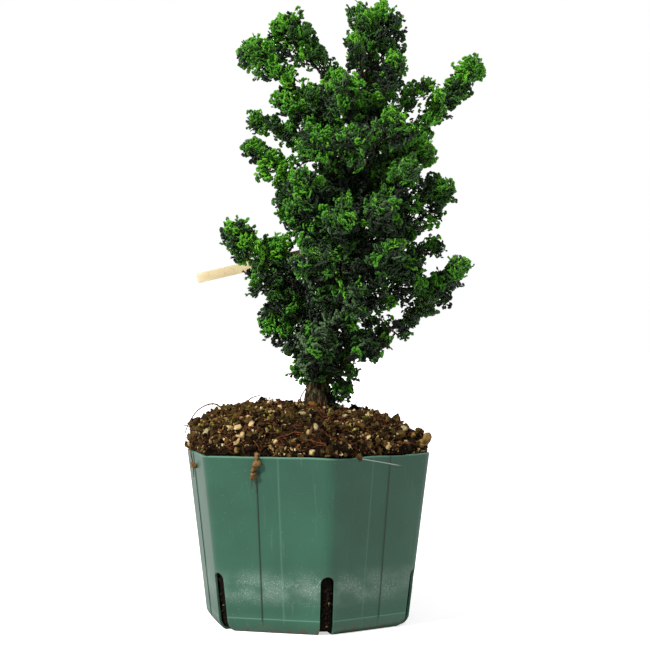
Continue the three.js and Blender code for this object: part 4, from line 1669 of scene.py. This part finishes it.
@dataclass
class RootBall:
    """The soil: it fills the pot, stands above the rim as a mound, and is strewn with grit."""

    pot: SlitPot
    steps: tuple = ((2.0, 0.8), (10.0, 1.6), (16.0, 4.0), (22.0, 12.0), (27.5, 27.0), (30.4, 45.0))
    top: float = 155.0
    seat: tuple[float, float] = (7.8, 0.0)
    seat_radius: float = 19.0
    clearance: float = 0.3
    floor: float = 2.0
    lean: float = -0.045
    air_reach: float = 87.0  # how far from the middle a root may stick out into the air
    behind_slits: float = 0.7  # how far the roots stay back from the slits
    # How far they press on the wall between the slits, by the place along the flat.
    pressed: tuple = ((1.0, 1.7), (1.2, 2.2), (1.6, 2.2), (2.0, 0.0))
    # How much the mound has settled, by the place across it.
    settled: tuple = (
        (-30, 0), (-15, 1.2), (-3, 0.8), (8, 0.3), (15, 1.5), (22, 4), (30, 3.5), (45, 2),
        (60, 2.2), (75, 1.5), (85, 0),
    )
    sides: int = 180
    rows: int = 84
    rings: int = 8  # points along a fine root
    seed: int = 23
    random: np.random.Generator = field(init=False)
    tree: BVHTree = field(init=False)
    corners: Array = field(init=False)
    faces: Array = field(init=False)

    def __post_init__(self) -> None:
        """Seeds the ball's own random numbers."""
        self.random = np.random.default_rng(self.seed)

    def ring(self, z: float, more: float, roundness: float, turn: float) -> Array:
        """A point of its outline: a hexagon that grows round towards the trunk.

        Args:
            z: Its height.
            more: How far it is set in from the wall.
            roundness: From 0, the pot's hexagon, to 1, a circle round the trunk.
            turn: The share of a turn round the ball.

        Returns:
            The point.
        """
        columns = self.sides // 6
        side = int(turn * 6) % 6
        place = (turn * 6 - side) * columns
        inset = (self.pot.wall + self.clearance) / cos(radians(30)) + more
        radius = self.pot.radius_at(min(z, self.pot.height)) - inset
        bent = columns // 3
        if place <= bent / 2:
            column = (side, "corner", 60 * place / bent)
        elif place >= columns - bent / 2:
            column = (side + 1, "corner", 60 * (place - columns) / bent)
        else:
            column = (side, "flat", -2 + 4 * (place - bent / 2) / (columns - bent))
        x, y = self.pot.outline(radius, column, False)
        if column[1] == "flat" and z < self.pot.slit_height + 10:
            normal = radians(-60 + self.pot.turn + 60 * side)
            pressed = np.interp(abs(column[2]), *zip(*self.pressed))
            x, y = (x, y) + polar(pressed, normal)
        around = self.seat + polar(self.seat_radius * 2, atan2(y, x))
        x, y = np.array([x, y]) * (1 - roundness) + around * roundness
        return np.array([x, y, z + (self.lean * x if z > self.pot.height else 0)])

    def profile(self) -> list[tuple[float, float, float]]:
        """The rows of the root ball, from the floor to the trunk's foot.

        Returns:
            The height, inset and roundness of each.
        """
        behind, count = self.behind_slits, len(self.steps)
        rows = [
            (self.floor + self.clearance, behind + 2, 0.0), (6.0, behind, 0.0),
            (self.pot.slit_height + 6, behind, 0.0), (self.pot.slit_height + 24, 1.2, 0.0),
            (self.pot.height - 1, 0.8, 0.0),
        ]
        return rows + [
            (self.pot.height + over, more, (row / count) ** 3)
            for row, (over, more) in enumerate(self.steps)
        ]

    def build(self) -> None:
        """Builds the root ball, then what lies on it."""
        profile = np.array(self.profile())
        seat_row, in_pot = len(profile), 26
        on_top = np.linspace(4, seat_row, self.rows - in_pot + 1)[1:]
        spread = np.concatenate([np.linspace(0, 4, in_pot), on_top])

        def place(turn: float, height: float) -> Array:
            """The point of the mound.

            Args:
                turn: The share of a turn round it.
                height: The share of its rows.

            Returns:
                The point.
            """
            s = spread[round(height * (self.rows - 1))]
            low = min(int(s), seat_row - 1)
            share = s - low
            first = self.ring(*profile[low], turn)
            if low + 1 < seat_row:
                second = self.ring(*profile[low + 1], turn)
            else:
                foot = self.seat + polar(self.seat_radius, atan2(first[1], first[0]))
                second = np.array([*foot, self.top])
            point = first * (1 - share) + second * share
            spot = Vector(point)
            # Lumps of four sizes, and the cracks between clods.
            lumps = noise(spot * 0.16) * 2.6 + noise(spot * 0.34) * 3.4
            lumps += noise(spot * 0.09) * 3.2 + noise(spot * 0.8) * 1.8
            lumps -= max(0.0, 0.16 - abs(noise(spot * 0.13 + Vector((9, 4, 2))))) * 16 - 0.3
            if point[2] < self.pot.height + 1:
                point[:2] *= 1 - 0.012 * (0.5 + abs(lumps) / 2)
                return point
            away = unit(point - np.array([0.0, 0.0, 100.0]))
            point[2] -= np.interp(point[0], *zip(*self.settled)) * min(1.0, (point[2] - 123) / 12)
            return point + away * lumps * min(1.0, (point[2] - self.pot.height) / 4)

        bm = bmesh.new()
        add_column(bm, self.sides, self.rows, place)
        top = [face for face in bm.faces if len(face.verts) > 4]
        bmesh.ops.poke(bm, faces=top)
        bmesh.ops.triangulate(bm, faces=bm.faces)
        self.tree = BVHTree.FromBMesh(bm)
        bm.verts.index_update()
        self.corners = np.array([vertex.co for vertex in bm.verts])
        self.faces = np.array([[vertex.index for vertex in face.verts] for face in bm.faces])
        # The soil inside the pot is painted darker below the rim, as painted shade.
        finish = Mineral(shaded_below=self.pot.height - 6)
        add_piece(mesh_of(bm, "root_ball"), finish.make(), ["soil"])
        self.strew()
        self.add_roots()
        self.add_stones()
        self.add_moss()
        self.fill_slits()

    def spots(self, count: int, lowest: float, highest: float = 400.0) -> Pair:
        """Picks places on the surface, evenly by area.

        Args:
            count: How many.
            lowest: The least height.
            highest: The greatest.

        Returns:
            Points and normals.
        """
        a, b, c = (self.corners[self.faces[:, k]] for k in range(3))
        cross = np.cross(b - a, c - a)
        middle = ((a + b + c) / 3)[:, 2]
        weight = np.linalg.norm(cross, axis=1) * (middle > lowest) * (middle < highest)
        chosen = self.random.choice(len(weight), count, p=weight / weight.sum())
        u, v = self.random.uniform(size=(2, count))
        flip = u + v > 1
        u, v = np.where(flip, 1 - u, u)[:, None], np.where(flip, 1 - v, v)[:, None]
        points = a[chosen] + (b - a)[chosen] * u + (c - a)[chosen] * v
        return points, unit(cross[chosen])

    def crumb(self, rough: float, fine: int = 1) -> Shape:
        """One grain: a small ball knocked out of round.

        Args:
            rough: How far.
            fine: 1 for a broken grain, or more for a rounder one with more faces.

        Returns:
            Corners and triangles, about 1 in radius.
        """
        bm = bmesh.new()
        if fine == 1:
            bmesh.ops.create_icosphere(bm, subdivisions=1, radius=1)
        else:
            bmesh.ops.create_cube(bm, size=2)
            bmesh.ops.subdivide_edges(bm, edges=bm.edges, cuts=fine - 1, use_grid_fill=True)
        bmesh.ops.triangulate(bm, faces=bm.faces)
        offset = Vector(self.random.uniform(0, 50, 3))
        balls = [v.co.normalized() for v in bm.verts]
        points = np.array([co * (1 + rough * noise(co * 1.3 + offset) * 1.6) for co in balls])
        bm.verts.index_update()
        triangles = np.array([[v.index for v in face.verts] for face in bm.faces])
        bm.free()
        return points, triangles

    def tumbled(self, count: int) -> Array:
        """Axes for grains that lie every way up."""
        ways = unit(self.random.normal(size=(count, 3)))
        return frames_towards(ways, self.random.uniform(0, 6, count))

    @staticmethod
    def lay(name: str, made: Shape, finish: Material, angular: bool = False) -> None:
        """Adds one piece of what lies on the mound."""
        add_piece(mesh_of_triangles(name, *made, angular=angular), finish)

    def strew(self) -> None:
        """Strews the crumbs and grit that the mound is made of."""
        kinds = (
            # name, count, least and most radius, colours, fineness, share sunk, least height,
            # and how much they lie in heaps
            ("peat_crumbs", 3000, 0.5, 2.3, ("040200", "1c1105"), 1, 0.15, 122.0, 0.0),
            ("bark_crumbs", 2200, 0.6, 2.8, ("130d05", "57431f"), 1, 0.05, 122.0, 0.6),
            ("clay_crumbs", 1700, 0.4, 1.5, ("5c4a24", "b39462"), 1, 0.0, 123.0, 1.1),
            ("mossy_crumbs", 1000, 0.5, 1.5, ("3a390c", "86832e"), 1, 0.0, 139.0, 1.6),
            ("clay_grains", 460, 0.9, 2.7, ("7a6138", "cbb080"), 2, 0.2, 124.0, 1.5),
            ("pumice_grains", 100, 0.8, 2.0, ("a08e66", "e0d4b0"), 2, 0.2, 124.0, 1.2),
            ("lime_specks", 70, 0.3, 0.6, ("a9a493", "e0dccb"), 1, 0.0, 124.0, 0.0),
        )
        for name, count, least, most, (dark, light), fine, sunk, lowest, heaped in kinds:
            points, normals = self.spots(count * 2, lowest)
            drawn = np.array([noise(Vector(p) / 13 + Vector((3, 1, 8))) for p in points])
            order = np.argsort(-heaped * drawn - self.random.uniform(0, 0.6, len(points)))[:count]
            points, normals = points[order], normals[order]
            sizes = least + (most - least) * self.random.uniform(size=count) ** 2
            points = points + normals * (sizes * (0.75 - sunk * 2))[:, None]
            frames = self.tumbled(count)
            stretched = sizes[:, None] * self.random.uniform(0.3, 1.35, (count, 3))
            parts = []
            for block in np.array_split(np.arange(count), 8):
                grain = self.crumb(0.8 if fine == 1 else 0.45, fine)
                parts.append(scattered(grain, points[block], frames[block], stretched[block]))
            finish = Mineral(name.replace("_", " "), dark=dark, light=light, grain=most * 2)
            self.lay(name, joined(parts), finish.make(), angular=fine == 1)

    def fill_slits(self) -> None:
        """Adds the crumbs that show in the slits, on the root ball behind them."""
        points, normals = self.spots(24000, 7.0, self.pot.slit_height + 2)
        x, y, _ = points.T
        turned = np.degrees(np.arctan2(y, x)) - (-90 + self.pot.turn)
        side = np.floor(turned % 360 / 60)
        aside = self.pot.across_corner(x, y, side, (turned % 60) - 30)
        here = np.flatnonzero(np.abs(aside) < self.pot.slit_width / 2 - 1.2)
        for name, share, most, (dark, light) in (
            ("slit_crumbs", 0.13, 1.4, ("0d0803", "20160b")),
            ("slit_grit", 0.007, 0.9, ("4a3a20", "8c744c")),
        ):
            chosen = self.random.choice(here, round(len(here) * share), replace=False)
            count = len(chosen)
            sizes = most * self.random.uniform(0.4, 1.0, (count, 1))
            sizes = sizes * self.random.uniform(0.5, 1.2, (count, 3))
            frames, proud = self.tumbled(count), points[chosen] + normals[chosen] * 0.4
            finish = Mineral(name.replace("_", " "), dark=dark, light=light, grain=3.0)
            made = scattered(self.crumb(0.8), proud, frames, sizes)
            self.lay(name, made, finish.make(), angular=True)

    def trail(self, start: Array, way: Array, stride: float) -> Array:
        """A root's line: it wanders over the mound, just above the crumbs.

        Args:
            start: Where it begins.
            way: Which way it sets out.
            stride: The distance between its points.

        Returns:
            The points.
        """
        point, line = start.copy(), []
        heading = unit(way)
        for _ in range(self.rings):
            near, normal, _, _ = self.tree.find_nearest(Vector(point))
            normal = np.array(normal)
            point = np.array(near) + normal * self.random.uniform(0.6, 1.8)
            line.append(point)
            heading = unit(heading - normal * (heading @ normal) + self.random.normal(0, 0.38, 3))
            point = point + heading * stride
        return np.array(line)

    def add_roots(self) -> None:
        """Adds the fine roots, on the mound and in the air, then the long ones."""
        count, rings = 1100, self.rings
        starts, _ = self.spots(count, 123.0)
        ways = self.random.normal(size=(count, 3))
        strides = self.random.uniform(1.6, 4.2, count)
        lines = np.stack([self.trail(*given) for given in zip(starts, ways, strides)])
        radii = 0.12 + 0.3 * self.random.uniform(size=(count, 1)) ** 2 * np.linspace(1, 0.5, rings)
        loose = 240
        air_starts, normals = self.spots(loose, 132.0)
        shares = np.linspace(0, 1, rings)[:, None]
        lifts = 2 + 10 * self.random.uniform(size=(loose, 1, 1)) ** 2
        lean = self.random.normal(0, 0.75, (loose, 1, 3)) + normals[:, None]
        curl = self.random.normal(0, 0.5, (loose, 1, 3))
        in_air = air_starts[:, None] + lifts * (lean * shares + curl * shares**2)
        in_air = in_air[np.hypot(in_air[..., 0], in_air[..., 1]).max(axis=1) < self.air_reach]
        air_radii = np.broadcast_to(np.linspace(0.28, 0.14, rings), in_air.shape[:2])
        fibre = Mineral("root fibre", dark="2b1309", light="744627", grain=6.0, relief=0.1).make()
        made = joined([tubes(lines, radii, 3), tubes(in_air, air_radii, 3)])
        self.lay("fine_roots", made, fibre)
        self.add_long_roots(fibre)

    def add_long_roots(self, fibre: Material) -> None:
        """Adds the long roots: along the mound, over the rim and into the air.

        Args:
            fibre: The finish of roots.
        """
        # Each is a few points as (x, z) seen from the front, and how far it stands off.
        routes = (
            ((-60, 139), (-50, 142), (-41, 137), (-33, 131), (-31, 126)),
            ((-31, 126), (-24, 132), (-14, 137), (-3, 140), (8, 138)),
            ((-66, 133), (-58, 129), (-50, 132), (-44, 139)),
            ((22, 146), (34, 143), (46, 140), (58, 138)),
            ((30, 131), (40, 134), (52, 131), (62, 134)),
            ((-20, 131), (-8, 129), (2, 134), (14, 131)),
            ((-2, 146), (-14, 148), (-26, 145), (-38, 148)),
        )
        lines, radii = [], []
        for route in routes:
            corners = np.array([self.seen_from_front(x, z) for x, z in route])
            line = smooth_path(corners).at(np.linspace(0, 1, 26))
            line += np.array([
                [noise(Vector(p) * 0.2 + Vector((0, 0, 9 * k))) for k in range(3)]
                for p in line
            ]) * 1.1
            lines.append(line)
            radii.append(np.linspace(0.6, 0.3, 26))
        free = (
            # Over the rim at the front left, with soil still clinging to it.
            ((-31, -62, 129), (-32.5, -72.5, 124.6), (-33.6, -76.2, 118), (-36, -75.5, 110),
             (-36.6, -75, 101)),
            # Over the rim at the far left.
            ((-72, -14, 137), (-80.5, -20, 130), (-81.6, -22, 123), (-80, -22, 113),
             (-79.5, -22, 105)),
            # Arching up off the left of the mound and down again.
            ((-58, -10, 152), (-66, -12, 156.5), (-76, -14, 153), (-83.5, -15, 143),
             (-86.5, -15, 135)),
            ((-74, -12, 141), (-80, -12, 140), (-88, -13, 141.5)),
            ((-45, -4, 153), (-40, -6, 160), (-33, -6, 162.5)),
            ((-1, -9, 152), (-4, -10, 160), (-1, -10, 166), (3, -9, 170)),
        )
        for corners in free:
            lines.append(smooth_path(np.array(corners, dtype=float)).at(np.linspace(0, 1, 26)))
            radii.append(np.linspace(0.65, 0.32, 26))
        self.lay("long_roots", tubes(np.array(lines), np.array(radii), 6), fibre)
        hung = np.concatenate([lines[7][9:21], lines[7][12:19], lines[8][18:21]])
        hung = hung + self.random.normal(0, 0.9, hung.shape)
        sizes = self.random.uniform(1.0, 2.2, len(hung))
        frames = self.tumbled(len(hung))
        finish = Mineral("clinging clods", dark="46321c", light="80643f", grain=3.0)
        clods = scattered(self.crumb(0.4, 2), hung, frames, sizes)
        self.lay("clinging_clods", clods, finish.make())

    def seen_from_front(self, x: float, z: float, proud: float = 0.9) -> Array:
        """The point of the mound that shows at a place from the front.

        Args:
            x: The place across.
            z: Its height.
            proud: How far the point stands off the mound.

        Returns:
            The point.
        """
        hit, normal, _, _ = self.tree.ray_cast(Vector((x, -300, z)), Vector((0, 1, 0)))
        if hit is None:
            hit, normal, _, _ = self.tree.find_nearest(Vector((x, -30, z)))
        return np.array(hit) + np.array(normal) * proud

    def add_stones(self) -> None:
        """Adds the single stones of each tint: their x and z from the front, and their radius."""
        stones = (
            ("pale", "7a6c4a", "a89a74", (
                (7.7, 142, 3.3), (-69, 137, 3.6), (69.5, 142.5, 2.6), (-2, 150.5, 2.6),
                (70, 130, 2.6), (-36, 152, 2.9), (28, 148, 2.2),
            )),
            ("warm", "54401f", "86673a", (
                (-64, 144, 2.8), (-47, 127.5, 2.4), (18, 139, 2.5), (-53, 138, 2.2),
                (43, 129, 2.4), (75, 135, 2.5), (-7, 134, 2.1), (50, 142.5, 2.3), (-58, 149, 2),
                (85.5, 133, 4.2), (82, 129.5, 3.2),
            )),
            ("cream", "93824f", "c2ae78", ((5, 126.5, 2.7), (-20.5, 133.5, 2.3))),
            ("orange", "523410", "774f20", ((6, 157, 2.9),)),
        )
        for tint, dark, light, places in stones:
            parts = []
            for x, z, size in places:
                place = self.seen_from_front(x, z, size * 0.1)[None]
                frames, scale = self.tumbled(1), size * np.array([[1.15, 0.95, 0.8]])
                parts.append(scattered(self.crumb(0.3, 3), place, frames, scale))
            finish = Mineral(f"{tint} gravel", roughness=0.8, dark=dark, light=light, grain=2.5)
            self.lay(f"{tint}_stones", joined(parts), finish.make())

    def add_moss(self) -> None:
        """Adds the small green cushions of moss near the top of the mound."""
        shape = lobe_shape(self.random, True)
        cushions = (
            # x and z of the middle, and how far the cushion spreads
            (-37, 152, 5.5), (-30, 152.5, 4), (17, 151.5, 4.5), (24, 149.5, 3.5), (-50, 148, 3),
            (41, 147, 4),
        )
        places, ways = [], []
        for x, z, spread in cushions:
            middle, spreads = self.seen_from_front(x, z, 0.0), spread * np.array([0.8, 0.5, 0.4])
            for _ in range(22):
                spot = middle + self.random.normal(0, 1, 3) * spreads
                near, normal, _, _ = self.tree.find_nearest(Vector(spot))
                places.append(np.array(near))
                ways.append(unit(np.array(normal) + self.random.normal(0, 0.35, 3)))
        places, ways = np.array(places), np.array(ways)
        frames = frames_towards(ways, self.random.uniform(0, 6, len(places)))
        sizes = self.random.uniform(0.28, 0.5, len(places))
        mesh = mesh_of_triangles("moss", *scattered(shape, places, frames, sizes))
        add_piece(mesh, ScaleFoliage("cushion moss", 0.8, colour="56600f").make())


# ---------- label


@dataclass
class PlantLabel:
    """A plain plastic strip tucked level into the left of the crown, slightly bowed."""

    start: tuple = (-79.0, 6.5, 246.5)
    end: tuple = (-1.0, 6.5, 264.5)
    width: float = 7.0
    thickness: float = 0.7
    corner: float = 0.8
    eased: float = 0.12  # width of its eased edges
    bow: float = 0.9

    def build(self) -> None:
        """Builds the strip from a cube, with eased edges and a little bow."""
        start, end = Vector(self.start), Vector(self.end)
        length = (end - start).length
        bm = bmesh.new()
        bmesh.ops.create_cube(bm, size=1)
        bmesh.ops.scale(bm, vec=(length, self.thickness, self.width), verts=bm.verts)
        upright = [e for e in bm.edges if abs(e.verts[0].co.y - e.verts[1].co.y) > 0.1]
        settings = {"profile": 0.5, "affect": "EDGES", "clamp_overlap": True}
        bmesh.ops.bevel(bm, geom=upright, offset=self.corner, segments=3, **settings)
        for cut in np.linspace(-0.45, 0.45, 15) * length:
            whole = [*bm.verts, *bm.edges, *bm.faces]
            bmesh.ops.bisect_plane(bm, geom=whole, plane_co=(cut, 0, 0), plane_no=(1, 0, 0))
        rims = [e for e in bm.edges if e.is_manifold and e.calc_face_angle() > 1]
        bmesh.ops.bevel(bm, geom=rims, offset=self.eased, segments=2, **settings)
        for vertex in bm.verts:
            share = vertex.co.x / length
            vertex.co.y += self.bow * (4 * share**2 - 0.5) * 0.5
        tilt = atan2(end.z - start.z, end.x - start.x)
        bmesh.ops.rotate(bm, verts=bm.verts, matrix=Matrix.Rotation(-tilt, 3, "Y"))
        bmesh.ops.translate(bm, verts=bm.verts, vec=(start + end) / 2)
        mesh = mesh_of(bm, "blank_label", 30)
        add_piece(mesh, LabelPlastic().make(), ["plant_label"])


# ---------- studio


@dataclass
class Studio:
    """The camera, the light and the floor."""

    camera: tuple = (13.5, -1456.6, 212.8)
    lens: float = 112.0
    sensor: float = 36.0
    floor_radius: float = 14000.0
    key: float = 4.6
    fill: float = 0.9
    ambient: float = 0.26

    def set_camera(self) -> None:
        """Sets the level camera in front of the plant."""
        data = bpy.data.cameras.new("camera")
        data.lens, data.sensor_width = self.lens, self.sensor
        data.clip_start, data.clip_end = 0.05, 60.0
        camera = new_object("camera", data)
        camera.location = Vector(self.camera) * MM
        camera.rotation_euler = (pi / 2, 0.0, 0.0)
        bpy.context.scene.camera = camera

    def set_light(self) -> None:
        """Sets two soft lights, an even sky and the floor."""
        scene = bpy.context.scene
        scene.view_settings.view_transform = "Standard"
        for name, strength, angle, pitch, yaw in (
            # The angle is how broad a light looks from the plant, in degrees.
            ("key", self.key, 6.0, 54.0, -44.0), ("fill", self.fill, 60.0, 38.0, 40.0)
        ):
            data = bpy.data.lights.new(name, "SUN")
            data.energy, data.angle = strength, radians(angle)
            light = new_object(name, data)
            light.rotation_euler = (radians(pitch), 0.0, radians(yaw))
        world = bpy.data.worlds.new("even sky")
        world.use_nodes = True
        tree = world.node_tree
        tree.nodes.clear()
        path = add_node(tree, "LightPath")
        strength = add_node(
            tree, "MapRange", {"To Min": self.ambient, "To Max": 1.0},
            {"Value": path.outputs["Is Camera Ray"]},
        )
        sky = add_node(
            tree, "Background", {"Color": linear("ffffff")}, {"Strength": strength.outputs[0]}
        )
        add_node(tree, "OutputWorld", links={"Surface": sky.outputs[0]})
        scene.world = world
        bm = bmesh.new()
        bmesh.ops.create_circle(bm, cap_ends=True, segments=96, radius=self.floor_radius)
        mesh = mesh_of(bm, "studio_floor")
        mesh.materials.append(StudioFloor().make())
        floor = new_object("studio_floor", mesh)


# ---------- the whole


def main() -> None:
    """Builds everything."""
    logging.basicConfig(level=logging.INFO, format="%(name)s: %(message)s", stream=sys.stdout)
    studio = Studio()
    studio.set_camera()
    studio.set_light()
    pot = SlitPot()
    pot.build()
    RootBall(pot).build()
    trunk = Trunk()
    limbs = [GrownLimb(limb, trunk) for limb in LIMBS]
    Wood(trunk, limbs).build()
    Crown(trunk, limbs).build()
    PlantLabel().build()


if __name__ == "__main__":
    main()
